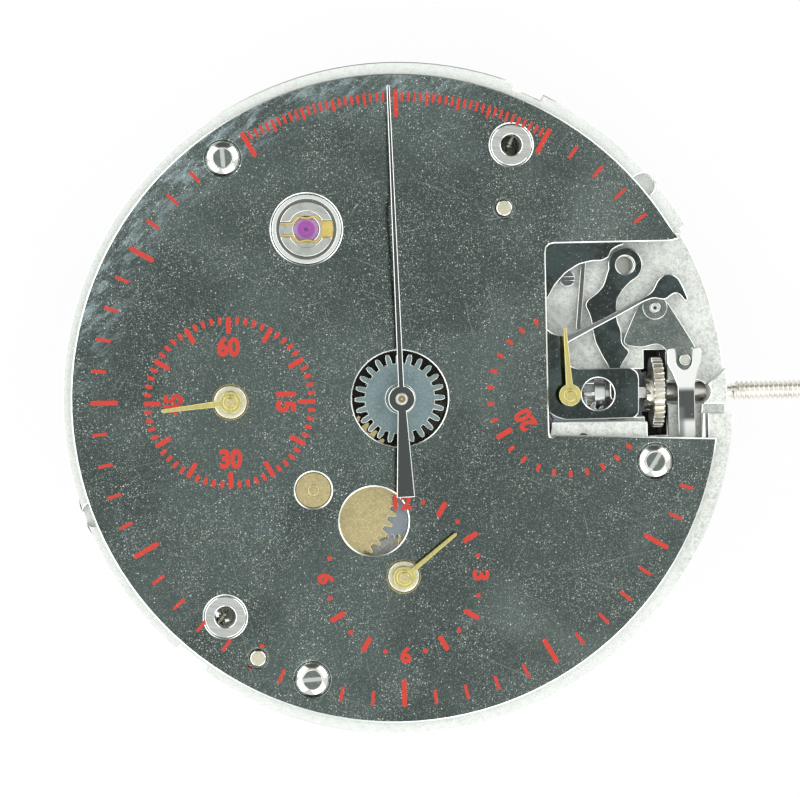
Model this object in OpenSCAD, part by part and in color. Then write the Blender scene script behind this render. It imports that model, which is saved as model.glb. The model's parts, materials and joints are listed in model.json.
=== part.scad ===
// Hand-wound chronograph watch movement, seen from its dial side.
// Millimetres. +Z points to the dial side, the stem lies along +X, and the origin is on
// the axis of the hands at the plane where the casing shoulder rests.

/* [Main plate] */
// Diameter over the flange
flange_d = 31; // [30.6:0.1:31.4]
// Diameter that drops into the case, under the flange
body_d = 30.4; // [30.2:0.1:30.5]
// Diameter of the holder step on the back
casing_d = 28.8; // [28.6:0.05:29]
// Height of the plate's dial face above the casing shoulder
plate_top = 2.35; // [2.3:0.01:2.45]
// Depth of the holder step below the casing shoulder
holder_depth = 0.7; // [0.68:0.01:0.72]
// Thickness of the flange
flange_t = 0.6; // [0.4:0.05:0.9]
// Angle where the interrupted stretch of the flange starts
flange_gap_from = -3; // [-3.5:0.5:-2]
// Angle where the interrupted stretch of the flange ends
flange_gap_to = 30; // [29:0.5:33]

/* [Dial plate] */
// Diameter of the polished plate
dial_plate_d = 29.9; // [29.6:0.05:30]
// Thickness of the polished plate
dial_plate_t = 0.3; // [0.26:0.01:0.34]
// Centre of the polished plate along X
dial_plate_x = -0.155; // [-0.2:0.005:-0.1]
// Radius of the hole round the hour wheel
centre_hole_r = 2.2; // [2.16:0.01:2.3]
// Left edge of the keyless window
window_left = 6.87; // [6.8:0.01:6.95]
// Top edge of the keyless window
window_top = 6.98; // [6.9:0.01:7.1]
// Bottom edge of the keyless window
window_bottom = -2.1; // [-2.2:0.01:-2.06]

/* [Sub-dials] */
// Distance of the running seconds arbor from the centre
seconds_x = 7.8; // [7.78:0.01:7.82]
// Distance of the minute counter arbor from the centre
minutes_x = 7.8; // [7.79:0.01:7.81]
// Distance of the hour counter arbor from the centre
hours_y = 8.2; // [8.15:0.01:8.25]

/* [Hands] */
// Length of the chronograph hand from its hub to its tip
chrono_len = 14.35; // [13:0.05:14.5]
// Length of the chronograph hand's tail
chrono_tail = 4.5; // [3.5:0.1:5]
// Angle of the chronograph hand, counted anticlockwise from 12
chrono_angle = 1.3; // [0:0.1:6]
// Length of the small seconds hand
small_len = 3.2; // [2.6:0.05:3.4]
// Length of the two counter hands
counter_len = 3.15; // [2.6:0.05:3.4]
// Radius of the small hands' hubs
small_hub_r = 0.51; // [0.44:0.01:0.6]
// Thickness of the hands
hand_t = 0.14; // [0.1:0.01:0.18]

/* [Winding] */
// Height of the stem's axis above the casing shoulder
stem_z = 0.6; // [0.58:0.01:0.62]
// Diameter of the stem's thread
stem_thread_d = 0.9; // [0.86:0.01:0.92]
// Diameter of the stem where it turns in the plate
stem_bearing_d = 0.78; // [0.74:0.01:0.8]
// Reach of the stem from the hand axis
stem_reach = 20.5; // [18:0.1:24]
// Travel of the stem between winding and hand setting
stem_travel = 0.45; // [0.4:0.01:0.45]
// Radius over the winding pinion's teeth
wind_pinion_r = 1.68; // [1.6:0.01:1.68]
// Number of the winding pinion's teeth
wind_teeth = 32; // [28:1:34]
// Radius over the sliding pinion's flanges
slide_pinion_r = 0.98; // [0.94:0.01:1]

/* [Barrel] */
// Radius over the barrel's teeth
barrel_r = 5.3; // [5.2:0.01:5.3]
// Height of the barrel drum
barrel_h = 1.3; // [1.25:0.01:1.31]
// Turns of the mainspring
mainspring_turns = 6; // [5:1:6]

/* [Balance] */
// Radius over the balance rim
balance_r = 4.4; // [4.2:0.01:4.45]
// Turns of the hairspring
hairspring_turns = 4; // [3:1:4]

/* [Fits] */
// Radial clearance of a turning arbor in its hole
turn_gap = 0.03; // [0.02:0.005:0.05]
// Gap between faces of neighbouring pieces that move
side_gap = 0.05; // [0.04:0.005:0.06]

/* [Hidden] */

steel = [0.62, 0.63, 0.64];
dark_steel = [0.3, 0.33, 0.34];
nickel = [0.8, 0.8, 0.77];
brass = [0.79, 0.71, 0.45];
gold = [0.78, 0.73, 0.42];
ruby = [0.72, 0.2, 0.5];
blue_steel = [0.3, 0.34, 0.5];

// Places of the arbors
seconds_at = [-seconds_x, 0];
minutes_at = [minutes_x, 0];
hours_at = [0, -hours_y];
escape_at = [-6.55, 3.15];
balance_at = escape_at + (balance_r + 0.9) * [sin(27.05), cos(27.05)];
third_at = [-4.3, -1];
barrel_at = [3.69, 4.73];
crown_at = [10.25, 0];
day_at = [-4.07, -4.13];
idler_at = [-0.32, -5.36];
column_at = [-1.2, -10.9];
coupling_reach = 3.48;
coupling_rest = 23.4;
coupling_at = seconds_at + coupling_reach * [cos(coupling_rest), -sin(coupling_rest)];
counter_mid_at = [4.65, -1.75];
yoke_at = [10.63, 5.95];
lever_at = [13.28, 1.5];
lever_stud_at = [11.97, 3.97];
escape_to_balance = balance_at - escape_at;
escape_line = escape_to_balance / norm(escape_to_balance);
escape_r = 2.1;
pallet_at = escape_at + escape_line * escape_r / cos(30);

// Setting train from the sliding pinion to the cannon pinion, along one line
setting_at = [8.45, -2.1];
setting_r = 1.75;
setting_line = setting_at / norm(setting_at);
cannon_pitch = 0.5;
minute_pitch = 1.5;
minute_at = setting_line * (cannon_pitch + minute_pitch);
mid_setting_r = (norm(setting_at) - cannon_pitch - 2 * minute_pitch - setting_r) / 2;
mid_setting_at = minute_at + setting_line * (minute_pitch + mid_setting_r);

// Levels of the dial side, from the recess floor up
floor_z = 1.37;
level_1 = floor_z + side_gap;
level_1_t = 0.23;
level_2 = level_1 + level_1_t + side_gap;
level_2_t = 0.2;
level_3 = level_2 + level_2_t + side_gap;
level_3_t = 0.28;
keyless_t = 0.35;
cover_z = level_1 + keyless_t + 0.08;
cover_t = 0.33;
dial_z = plate_top;
dial_top = dial_z + dial_plate_t;
shock_r = 1.6;
shock_h = 1.1 + dial_plate_t - 0.02;
shock_core_r = 1.26;
lyre_tab_w = 0.78;
small_hand_z = dial_top + 0.5;
hand_top = small_hand_z + hand_t + 0.1;
chrono_hand_z = dial_top + 1.35;

// Levels of the back, from the holder step down
back_z = -holder_depth;
barrel_pocket_top = 1.1;
barrel_z = barrel_pocket_top - side_gap - barrel_h;
bridge_bottom = -2.2;
ratchet_z = -1.5;
ratchet_t = 0.4;
centre_wheel_z = -0.62;
wheel_t = 0.18;
third_wheel_z = -1.2;
fourth_wheel_z = -1.45;
escape_z = -0.98;
balance_z = -2.3;
balance_h = 0.45;
hairspring_z = -2.72;
cock_z = -3.86;
cock_t = 0.6;
chrono_wheel_z = -3.05;
chrono_bridge_z = -4.2;
chrono_bridge_t = 0.5;
lever_layer_z = -2.75;

winding_floor = ratchet_z + ratchet_t + side_gap;
hammer_low = bridge_bottom - chrono_wheel_z + 0.35;
column_low = 1.2;
operating_low = back_z + 2.95;
pivot_shank = 0.2;
bridge_screw_r = 0.33;
bridge_screw_l = 2.6;
bridge_d = casing_d - 1;

jewel_r = 0.6;
foot_hole_r = 0.48;
foot_screw_z = 0.88;
foot_screw_sink = 0.45;
foot_at = [[5.37, 11.56], [-8.24, -9.86]];
dial_screw_at = [[-7.91, 11.2], [-4.3, -12.85], [11.76, -3.16]];
dial_screw_slot = [95, 5, 57];
dial_screw_r = 0.82;
dial_screw_shank = 0.4;
dial_screw_head = 0.44;
pin_at = [[4.99, 8.67], [-6.78, -11.8]];
pin_r = 0.37;
rim_cut_at = [[11.45, 9.6], [-14.15, -5.0]];
keyless_screw_at = [[7.93, 5.37], [5.75, 6.6], [6.1, 1.25]];
keyless_screw_r = 0.37;

// Teeth of the trains
crown_teeth = 36;
between_teeth = 24;
ratchet_teeth = 90;
winding_module = 0.1;
crown_pitch = crown_teeth * winding_module / 2;
between_pitch = between_teeth * winding_module / 2;
ratchet_pitch = ratchet_teeth * winding_module / 2;
between_at = third_corner(crown_at, barrel_at, crown_pitch + between_pitch + 0.02,
  ratchet_pitch + between_pitch + 0.02);
cannon_teeth = 12;
minute_teeth = 36;
mid_setting_teeth = 36;
setting_teeth = 26;
minute_pinion_teeth = 8;
hour_low_teeth = 32;

// Corner of a triangle over a and b at distances ra and rb, to the right of a to b
function third_corner(a, b, ra, rb) = let (d = norm(b - a), u = (b - a) / d,
  k = (ra * ra - rb * rb + d * d) / (2 * d), h = sqrt(ra * ra - k * k))
  a + u * k + [u[1], -u[0]] * h;

// Turn of wheel b that puts its teeth between those of wheel a, itself turned by turn_a
function mesh_turn(turn_a, n_a, p_a, n_b, p_b) =
  let (line = atan2(p_b[1] - p_a[1], p_b[0] - p_a[0]), past = (line - turn_a) * n_a / 360)
  line + 180 + (past + 0.5) * 360 / n_b;

// Shapes used by many pieces

module at(p, z = 0) { translate([p[0], p[1], z]) children(); }

// A wheel's outline with n teeth on pitch radius r, as narrow-tipped straight flanks
module gear_2d(n, r, addendum = 0.9, dedendum = 1.15, fill = 0.46) {
  m = 2 * r / n;
  step = 360 / n;
  tip = r + addendum * m;
  root = r - dedendum * m;
  polygon([for (i = [0 : n - 1])
    for (c = [[root, -0.31], [r, -fill / 2], [tip, -0.12], [tip, 0.12], [r, fill / 2],
        [root, 0.31]])
      c[0] * [cos((i + c[1]) * step), sin((i + c[1]) * step)]]);
}

// Windows that leave a rim, a hub and a number of arms
module crossings_2d(outer, inner, arms, arm_w) {
  difference() {
    circle(r = outer, $fn = 64);
    circle(r = inner, $fn = 48);
    for (i = [0 : arms - 1])
      rotate(i * 360 / arms) translate([0, -arm_w / 2]) square([outer + 1, arm_w]);
  }
}

// A crossed-out train wheel with its rim inside the teeth
module train_wheel(n, r, h, arms, hub, rim = 0.35, arm_w = 0.3) {
  root = r - 1.15 * 2 * r / n;
  linear_extrude(h) difference() {
    gear_2d(n, r);
    crossings_2d(root - rim, hub, arms, arm_w);
  }
}

// A straight bar with round ends of two radii
module bar_2d(p, q, r1, r2) {
  d = q - p;
  side = [-d[1], d[0]] / norm(d);
  polygon([p + side * r1, p - side * r1, q - side * r2, q + side * r2]);
  translate(p) circle(r = r1, $fn = 48);
  translate(q) circle(r = r2, $fn = 48);
}

// Points of a closed outline with each corner eased by a short curve
function eased(pts, ease, steps = 3) = [for (i = [0 : len(pts) - 1])
  let (p = pts[i], a = pts[(i + len(pts) - 1) % len(pts)], b = pts[(i + 1) % len(pts)],
    ra = min(ease, norm(a - p) * 0.45), rb = min(ease, norm(b - p) * 0.45),
    s = p + (a - p) / norm(a - p) * ra, e = p + (b - p) / norm(b - p) * rb)
    for (k = [0 : steps]) let (t = k / steps)
      (1 - t) * (1 - t) * s + 2 * t * (1 - t) * p + t * t * e];

// A slotted screw with its head from z up and its shank below
module screw(head_r, head_h, shank_r, shank_l, slot_w = 0.14, slot_angle = 0) {
  difference() {
    cylinder(r = head_r, h = head_h, $fn = 64);
    rotate(slot_angle) translate([-head_r - 1, -slot_w / 2, head_h * 0.55])
      cube([2 * head_r + 2, slot_w, head_h]);
  }
  translate([0, 0, -shank_l]) cylinder(r = shank_r, h = shank_l + 0.001, $fn = 32);
}

module tube(outer, inner, h) {
  difference() {
    cylinder(r = outer, h = h, $fn = 64);
    translate([0, 0, -1]) cylinder(r = inner, h = h + 2, $fn = 64);
  }
}

// A sector of a disc from angle a to angle b
module sector_2d(r, a, b) {
  steps = 8;
  polygon(concat([[0, 0]], [for (i = [0 : steps])
    let (t = a + (b - a) * i / steps) r * [cos(t), sin(t)]]));
}

// Main plate

// Floor of the keyless works: it runs out through the rim at the right
keyless_recess = [[4, -1.25], [11.4, -1.25], [11.75, -1.6], [11.75, -2.03], [12.7, -2.03],
  [12.7, -4.1], [13.9, -4.1], [14.05, -0.9], [14.2, 0.35], [14.9, 0.75], [15.2, 1.2],
  [20, 1.2], [20, 7.3], [12.4, 7.3], [12.1, 8.1], [4.6, 8.1]];

module main_plate_body() {
  translate([0, 0, back_z]) cylinder(d = casing_d, h = holder_depth, $fn = 128);
  cylinder(d = body_d, h = plate_top, $fn = 128);
  translate([0, 0, plate_top - flange_t]) difference() {
    cylinder(d = flange_d, h = flange_t, $fn = 128);
    translate([0, 0, -1]) linear_extrude(flange_t + 2) {
      sector_2d(flange_d, flange_gap_from, flange_gap_to);
      rotate(66) translate([flange_d / 2, 0]) square([1.2, 1.35], center = true);
      rotate(230) translate([flange_d / 2, 0]) square([1.2, 1.5], center = true);
    }
  }
}

module dial_side_pockets() {
  top = plate_top - floor_z + 1;
  translate([0, 0, floor_z]) linear_extrude(top) {
    polygon(eased(keyless_recess, 0.4));
    circle(r = minute_pitch * 2 + cannon_pitch + 0.3, $fn = 96);
    translate(mid_setting_at) circle(r = mid_setting_r + 0.2, $fn = 64);
    translate(hours_at) circle(r = 2.75, $fn = 96);
    translate(idler_at) circle(r = 1.35, $fn = 64);
  }
  at(day_at, level_3 - side_gap) cylinder(r = 4.2, h = top, $fn = 96);
  at(setting_at, floor_z) cylinder(r = setting_r + 0.25, h = level_1_t + 2 * side_gap,
    $fn = 64);
  translate([setting_at[0] - 2.2, -4.4, floor_z]) cube([4.4, 1.8, top]);
  translate([14, -0.98, floor_z + 0.3]) cube([4, 0.4, top]);
  translate([14.15, -2.6, floor_z + 0.5]) cube([0.12, 1.7, top]);
  for (p = rim_cut_at) at(p, plate_top - 0.4) cylinder(r = 0.55, h = 1, $fn = 48);
  at(balance_at, dial_z - 1.1) cylinder(r = shock_r, h = 2, $fn = 64);
}

// Seat of the stem, the sliding pinion and the winding pinion
module stem_seat() {
  translate([8.56, -1.1, stem_z - 1.1]) cube([2.9, 2.2, 2]);
  translate([wind_slot_x, -wind_slot_r, back_z - 1])
    cube([wind_slot_w, 2 * wind_slot_r, plate_top + holder_depth + 2]);
  translate([12.5, -0.52, stem_z]) cube([1.4, 1.04, 3]);
  translate([13.9, 0, stem_z]) cylinder(r = 0.52, h = 3, $fn = 48);
  along_stem(stem_tip - stem_travel) cylinder(r = 0.21, h = 1, $fn = 32);
  along_stem(12.3) cylinder(r = stem_bearing_d / 2 + 0.04, h = flange_d / 2 - 11.5,
    $fn = 48);
  along_stem(stem_thread_x - stem_travel - 0.05) cylinder(r = stem_thread_d / 2 + 0.05, h = 2,
    $fn = 48);
}

module back_pockets() {
  at(barrel_at, back_z - 1) cylinder(r = barrel_r + 0.2, h = barrel_pocket_top - back_z + 1,
    $fn = 128);
  at([0, 0], back_z - 1) cylinder(r = 4.15, h = 1.45, $fn = 96);
  at([0, 0], back_z - 1) cylinder(r = 1.1, h = 2.3, $fn = 64);
  at(third_at, back_z - 1) cylinder(r = 0.75, h = 1.45, $fn = 48);
  at([0, 0], back_z - 1) cylinder(r = 0.6, h = 4, $fn = 48);
}

module arbor_holes() {
  at(seconds_at, back_z - 1) cylinder(r = 0.2 + turn_gap, h = 5, $fn = 32);
  at(minutes_at, back_z - 1) cylinder(r = 0.16 + turn_gap, h = 5, $fn = 32);
  at(third_at, back_z - 1) cylinder(r = 0.2 + turn_gap, h = 1.5, $fn = 32);
  at(escape_at, back_z - 1) cylinder(r = 0.2 + turn_gap, h = 1.5, $fn = 32);
  at(pallet_at, back_z - 1) cylinder(r = 0.2 + turn_gap, h = 1.5, $fn = 32);
  at(barrel_at, 0) cylinder(r = 0.5 + turn_gap, h = floor_z + 0.1, $fn = 48);
  at(balance_at, back_z - 1) cylinder(r = 0.45, h = 5, $fn = 48);
  for (p = [minute_at, mid_setting_at, setting_at, day_at, idler_at, hours_at])
    at(p, floor_z - 0.9) cylinder(r = 0.25 + turn_gap, h = 3, $fn = 32);
  at(yoke_at, 0.3) cylinder(r = 0.4, h = 2, $fn = 48);
  at(lever_at, 1.16) cylinder(r = 0.29, h = 1, $fn = 48);
}

module screw_holes() {
  for (p = dial_screw_at) at(p, 0.4) cylinder(r = dial_screw_shank, h = 3, $fn = 32);
  for (p = pin_at) at(p, floor_z) cylinder(r = pin_r, h = 3, $fn = 32);
  for (p = keyless_screw_at) at(p, floor_z - 0.15) cylinder(r = 0.2, h = 1, $fn = 32);
  for (p = foot_at) at(p, back_z - 1) cylinder(r = foot_hole_r, h = 5, $fn = 48);
  for (p = foot_at) foot_screw_place(p) {
    translate([0, 0, -foot_screw_reach(p) - foot_hole_r])
      cylinder(r = 0.3, h = foot_screw_reach(p) + foot_hole_r + 0.01, $fn = 32);
    cylinder(r = 0.52, h = 3, $fn = 32);
  }
  for (p = concat(bridge_screw_at, [cock_screw_at])) at(p, back_z - 1)
    cylinder(r = bridge_screw_r, h = 2.12, $fn = 32);
  at(operating_at, back_z - 1) cylinder(r = pivot_shank, h = 1.47, $fn = 24);
}

// A dial-foot screw lies in the plate's rim and points at its foot
module foot_screw_place(p) {
  angle = atan2(p[1], p[0]);
  translate([body_d / 2 * cos(angle), body_d / 2 * sin(angle), foot_screw_z])
    rotate([0, 0, angle]) rotate([0, 90, 0]) translate([0, 0, -foot_screw_sink]) children();
}

// Distance from under the screw's head to the wall of the foot's hole
function foot_screw_reach(p) = body_d / 2 - foot_screw_sink - norm(p) - foot_hole_r;

bridge_screw_at = [[-3.6, 2.6], [9.5, 8.9], [-12.6, -3.3], [-2.3, -6.9], [-12.8, 2.5],
  [13.05, 2.3]];
cock_screw_at = (bridge_d / 2 - 0.7) * [cos(138), sin(138)];

module main_plate() {
  color(nickel) difference() {
    main_plate_body();
    dial_side_pockets();
    stem_seat();
    back_pockets();
    arbor_holes();
    screw_holes();
  }
}

// Dial plate and what fastens it

module window_2d() {
  polygon(concat(eased([[window_left, window_bottom], [window_left, window_top],
    [12.9, window_top], [13.6, 7.5], [20, 11]], 0.4),
    eased([[20, -2.7], [14.62, -2.7], [14.6, window_bottom]], 0.4)));
}

module dial_plate() {
  color(dark_steel) translate([0, 0, dial_z]) linear_extrude(dial_plate_t) difference() {
    translate([dial_plate_x, 0]) circle(d = dial_plate_d, $fn = 128);
    window_2d();
    circle(r = centre_hole_r, $fn = 96);
    translate([-1.31, -5.62]) circle(r = 1.58, $fn = 64);
    translate(day_at) circle(r = 0.83, $fn = 48);
    translate(balance_at) circle(r = shock_r + 0.02, $fn = 64);
    translate(seconds_at) circle(r = 0.77, $fn = 48);
    translate(hours_at) circle(r = 0.73, $fn = 48);
    for (p = foot_at) translate(p) circle(r = 0.97, $fn = 48);
    for (p = dial_screw_at) translate(p) circle(r = dial_screw_r + 0.02, $fn = 48);
    for (p = pin_at) translate(p) circle(r = 0.46, $fn = 32);
  }
}

module movement_screws() {
  color(steel) {
    for (i = [0 : len(dial_screw_at) - 1]) at(dial_screw_at[i], dial_z) {
      screw(dial_screw_head, dial_plate_t, dial_screw_shank, 1.5, 0.18, dial_screw_slot[i]);
      cup_washer();
    }
    for (p = foot_at) foot_screw_place(p) screw(0.5, 0.3, 0.28, foot_screw_reach(p) - 0.12);
    for (p = bridge_screw_at) at(p, bridge_bottom) mirror([0, 0, 1])
      screw(0.62, 0.2, bridge_screw_r, bridge_screw_l, 0.14, 30 * p[0]);
    at(cock_screw_at, cock_z) mirror([0, 0, 1])
      screw(0.62, 0.2, bridge_screw_r, back_z - cock_z + 0.8, 0.14, 40);
    for (p = chrono_post_at) at(p, chrono_bridge_z) mirror([0, 0, 1])
      screw(0.55, 0.2, 0.28, bridge_bottom - chrono_bridge_z + 0.6, 0.14, 15 * p[0]);
    pivot_screw(crown_at, winding_floor, ratchet_t, 0.6, 0.95);
    pivot_screw(between_at, winding_floor, ratchet_t, 0.4, 0.6);
    pivot_screw(click_at, winding_floor, ratchet_t, 0.25, 0.45);
    pivot_screw(hammer_at, bridge_bottom, hammer_low, 0.3, 0.5);
    pivot_screw(column_at, bridge_bottom, column_low, 0.3, 0.45);
    pivot_screw(operating_at, back_z, operating_low, 0.35, 0.6);
  }
}

// Polished cup whose cone falls from the screw's head to its rim
module cup_washer() {
  rotate_extrude($fn = 96) polygon([[dial_screw_head - 0.01, 0], [dial_screw_r, 0],
    [dial_screw_r, dial_plate_t - 0.14], [dial_screw_head + 0.04, dial_plate_t + 0.04],
    [dial_screw_head - 0.01, dial_plate_t + 0.04]]);
}

// A screw seen from the back: wheels or levers turn on its core, a shank holds it
module pivot_screw(p, floor, reach, core, head) {
  at(p, floor) mirror([0, 0, 1]) {
    translate([0, 0, reach + 2 * side_gap]) screw(head, 0.18, core, reach + 2 * side_gap);
    translate([0, 0, -0.33]) cylinder(r = pivot_shank, h = 0.34, $fn = 24);
  }
}

module steady_pins() {
  color(steel) for (p = pin_at) at(p, floor_z + 0.02)
    cylinder(r = pin_r, h = dial_top - floor_z - 0.04, $fn = 32);
}

module arbor_bushes() {
  color(brass) {
    at(seconds_at, dial_z) tube(0.76, 0.26, dial_plate_t);
    at(hours_at, dial_z) tube(0.72, 0.26, dial_plate_t);
    for (p = foot_at) at(p, dial_z) tube(0.96, foot_hole_r, dial_plate_t + 0.02);
  }
}

// Shock settings

// The block has a groove round its core, and the spring lies in the core's slots
module shock_setting_dial_side() {
  color(nickel) at(balance_at, dial_z - 1.1) difference() {
    cylinder(r = shock_r, h = shock_h, $fn = 96);
    translate([0, 0, shock_h - 0.4]) tube(1.39, shock_core_r, 1);
    translate([0, 0, shock_h - 0.1]) cylinder(r = shock_core_r + 0.01, h = 1, $fn = 64);
    translate([-1.3, -0.35, shock_h - 0.3]) cube([1, 0.7, 1]);
    translate([0.5, -lyre_tab_w / 2, shock_h - 0.3]) cube([0.8, lyre_tab_w, 1]);
    translate([0, 0, shock_h - 0.3]) cylinder(r = 0.83, h = 1, $fn = 64);
    translate([0, 0, -1]) cylinder(r = 0.2, h = 2, $fn = 32);
    translate([0, 0, 0.3]) cylinder(r = jewel_r, h = 2, $fn = 48);
  }
}

// Upper half of the lyre's wire, from its tab round the jewel to the hooked end
lyre_arm = [[0.74, 0.34], [0.43, 0.6], [0.04, 0.5], [-0.38, 0.57], [-0.66, 0.27],
  [-1.12, 0.27]];

module lyre_2d() {
  translate([0.7, -lyre_tab_w / 2 + 0.02]) square([0.52, lyre_tab_w - 0.04]);
  for (s = [0, 1]) mirror([0, s]) for (i = [0 : len(lyre_arm) - 2])
    bar_2d(lyre_arm[i], lyre_arm[i + 1], 0.05, 0.05);
}

module shock_spring_dial_side() {
  color(gold) at(balance_at, dial_z - 1.1 + shock_h - 0.3) linear_extrude(0.18) lyre_2d();
}

module shock_setting_back() {
  color(nickel) at(balance_at, cock_z) mirror([0, 0, 1]) {
    tube(1.15, 0.2, 0.25);
    cylinder(r = 0.45, h = 0.3, $fn = 32);
  }
}

// Keyless works

cover_outline = [[10.58, 6.87], [10.2, 7.5], [9.4, 7.85], [6.4, 7.6], [5.3, 6.9],
  [4.6, 5.6], [4.6, 1.6], [5.1, 0.2], [6, -0.5], [6.85, -0.77], [7.18, -1.02],
  [7.67, -1.18], [10.88, -1.16], [11.1, -0.92], [11.13, 0.75], [11.05, 1], [10.74, 1.2],
  [8.28, 1.19], [7.94, 1.34], [7.82, 1.56], [7.84, 2.39], [8.99, 2.98], [10.24, 3.6],
  [11.36, 4.19], [11.62, 4.3], [11.9, 4.38], [12.25, 4.3], [12.45, 4.3], [12.63, 4.44],
  [12.85, 4.59], [13.09, 4.53], [13.26, 4.28], [13.41, 4.18], [13.49, 4.33],
  [13.25, 4.92], [13.05, 5.3], [12.74, 5.49], [12.37, 5.47], [12.06, 5.2], [11.87, 4.8],
  [11.67, 4.58], [10.87, 4.2], [9.62, 3.55], [8, 2.82], [7.75, 2.74], [7.45, 2.77],
  [7.14, 2.86], [6.9, 3.05], [6.6, 3.55], [6.62, 3.95], [6.93, 4.41], [7.31, 5.08],
  [7.81, 5.62], [8.44, 6.01], [9.06, 6.15], [9.49, 6.14], [9.84, 6.3], [9.95, 6.62],
  [10.3, 6.83]];

module keyless_cover() {
  color(dark_steel) translate([0, 0, cover_z]) linear_extrude(cover_t) difference() {
    polygon(eased(cover_outline, 0.12, 2));
    translate([9.21, 0]) circle(r = 0.75, $fn = 48);
    translate(minutes_at) circle(r = 0.3, $fn = 32);
    for (p = [keyless_screw_at[1], keyless_screw_at[2]]) translate(p)
      circle(r = 0.2 + turn_gap, $fn = 24);
  }
}

// Two screws hold the cover on its pillars, the third clamps the yoke spring
module keyless_screws() {
  color(steel) {
    for (i = [1, 2]) at(keyless_screw_at[i], cover_z + cover_t) {
      screw(keyless_screw_r, 0.12, 0.2, cover_z + cover_t - floor_z + 0.1);
      translate([0, 0, -cover_z - cover_t + floor_z]) tube(0.42, 0.19, cover_z - floor_z);
    }
    at(keyless_screw_at[0], floor_z) screw(keyless_screw_r, 0.3, 0.2, 0.14);
  }
}

lever_outline = [[11.3, 4.25], [11.05, 3.75], [10.78, 3.16], [10.46, 2.43], [10.58, 2.21],
  [11.32, 2.1], [11.75, 2.2], [12.06, 2.26], [12.36, 2.08], [12.62, 1.65], [12.7, 1.2],
  [13, 0.9], [13.5, 0.9], [13.85, 1.3], [13.84, 2.08], [13.31, 2.98], [12.62, 4.11],
  [12.2, 4.5], [11.7, 4.5]];

module setting_lever() {
  color(steel) {
    translate([0, 0, level_1]) linear_extrude(keyless_t) {
      polygon(eased(lever_outline, 0.15, 2));
      bar_2d([13.26, 1.2], [13.26, 0.15], 0.2, 0.2);
    }
    at(lever_at, 1.2) cylinder(r = 0.26, h = cover_z + cover_t - 1.2, $fn = 32);
    at(lever_stud_at, level_1) cylinder(r = 0.58, h = keyless_t + 0.05, $fn = 48);
    at(lever_stud_at, level_1) cylinder(r = 0.22, h = cover_z + cover_t - level_1,
      $fn = 32);
    at([13.26, 0.12], stem_z + 0.28) cylinder(r = 0.16, h = level_1 - stem_z - 0.2,
      $fn = 24);
  }
}

// Fork that stands over the setting lever's axle
module fork_2d() {
  centre = [lever_at[0] - 0.03, lever_at[1] - 0.08];
  difference() {
    union() {
      bar_2d([12.68, 1.84], [12.72, 1.4], 0.22, 0.26);
      bar_2d([13.84, 1.84], [13.78, 1.4], 0.23, 0.26);
      translate(centre) circle(r = 0.75, $fn = 64);
      bar_2d(centre, [13.33, 0.3], 0.75, 0.4);
      translate([12.93, -3.9]) square([0.8, 4.4]);
    }
    translate(centre) circle(r = 0.36, $fn = 48);
    translate(centre - [0.36, 0]) square([0.72, 2]);
  }
}

module setting_fork_spring() {
  color(steel) {
    translate([0, 0, cover_z]) linear_extrude(0.2) fork_2d();
    translate([12.9, -3.9, floor_z]) cube([0.78, 1.2, cover_z - floor_z]);
  }
}

yoke_outline = [[9.97, 6.2], [9.75, 5.52], [9.59, 5.03], [9.27, 4.67], [8.84, 4.37],
  [8.71, 4.13], [8.89, 3.75], [9, 3.38], [9.05, 2.89], [9.16, 2.39], [9.45, 1.77],
  [9.78, 1.2], [9.82, -0.3], [10.26, -0.3], [10.3, 1.1], [10.4, 1.35], [10.63, 1.68],
  [10.78, 1.94], [10.58, 2.12], [10.4, 2.35], [10.4, 2.92], [10.22, 3.35], [10.2, 3.85],
  [10.22, 4.34], [10.48, 4.77], [10.86, 5.15], [11.2, 5.4]];

module yoke() {
  color(dark_steel) difference() {
    translate([0, 0, level_1]) linear_extrude(keyless_t) {
      polygon(eased(yoke_outline, 0.15, 2));
      translate(yoke_at) circle(r = 0.8, $fn = 64);
    }
    at(yoke_at, 0) cylinder(r = 0.4 + turn_gap, h = 5, $fn = 48);
  }
}

// The spring is a flat strip that leans on the yoke from its clamped block
module yoke_spring() {
  color(steel) {
    translate([0, 0, level_1 + 0.05]) linear_extrude(0.25)
      bar_2d([8.75, 6.7], [8.4, 3.1], 0.12, 0.12);
    translate([8.45, 6.45, floor_z]) linear_extrude(0.35)
      polygon(eased([[0, 0], [0.7, 0], [0.7, 0.9], [0, 0.9]], 0.12, 2));
  }
}

// Stem pieces, all turned about the stem's axis

module along_stem(x) { translate([x, 0, stem_z]) rotate([0, 90, 0]) children(); }

stem_tip = 8.47;
slide_left = 8.6;
slide_len = 2.2;
wind_pinion_x = 11.84;
wind_pinion_t = 0.5;
wind_slot_x = 11.46;
wind_slot_w = 1;
wind_slot_r = wind_pinion_r + 0.3;
stem_bearing_x = 13.85;
stem_bearing_l = 0.7;
stem_bare_r = 0.29;
stem_thread_x = flange_d / 2 + 0.1;

module sliding_pinion() {
  color(steel) difference() {
    union() {
      along_stem(slide_left + 0.2) cylinder(r = 0.62, h = slide_len - 0.4, $fn = 48);
      along_stem(slide_left) linear_extrude(0.5) gear_2d(10, slide_pinion_r - 0.17);
      along_stem(slide_left + 0.5) cylinder(r = slide_pinion_r - 0.04, h = 0.52,
        $fn = 48);
      along_stem(slide_left + 1.72) cylinder(r = slide_pinion_r - 0.04, h = 0.23,
        $fn = 48);
      along_stem(slide_left + 1.9) ratchet_ring(0.84, 0.45, 0.3, 10);
    }
    along_stem(slide_left - 1) translate([-0.27, -0.27, 0]) cube([0.54, 0.54, 6]);
  }
}

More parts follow.
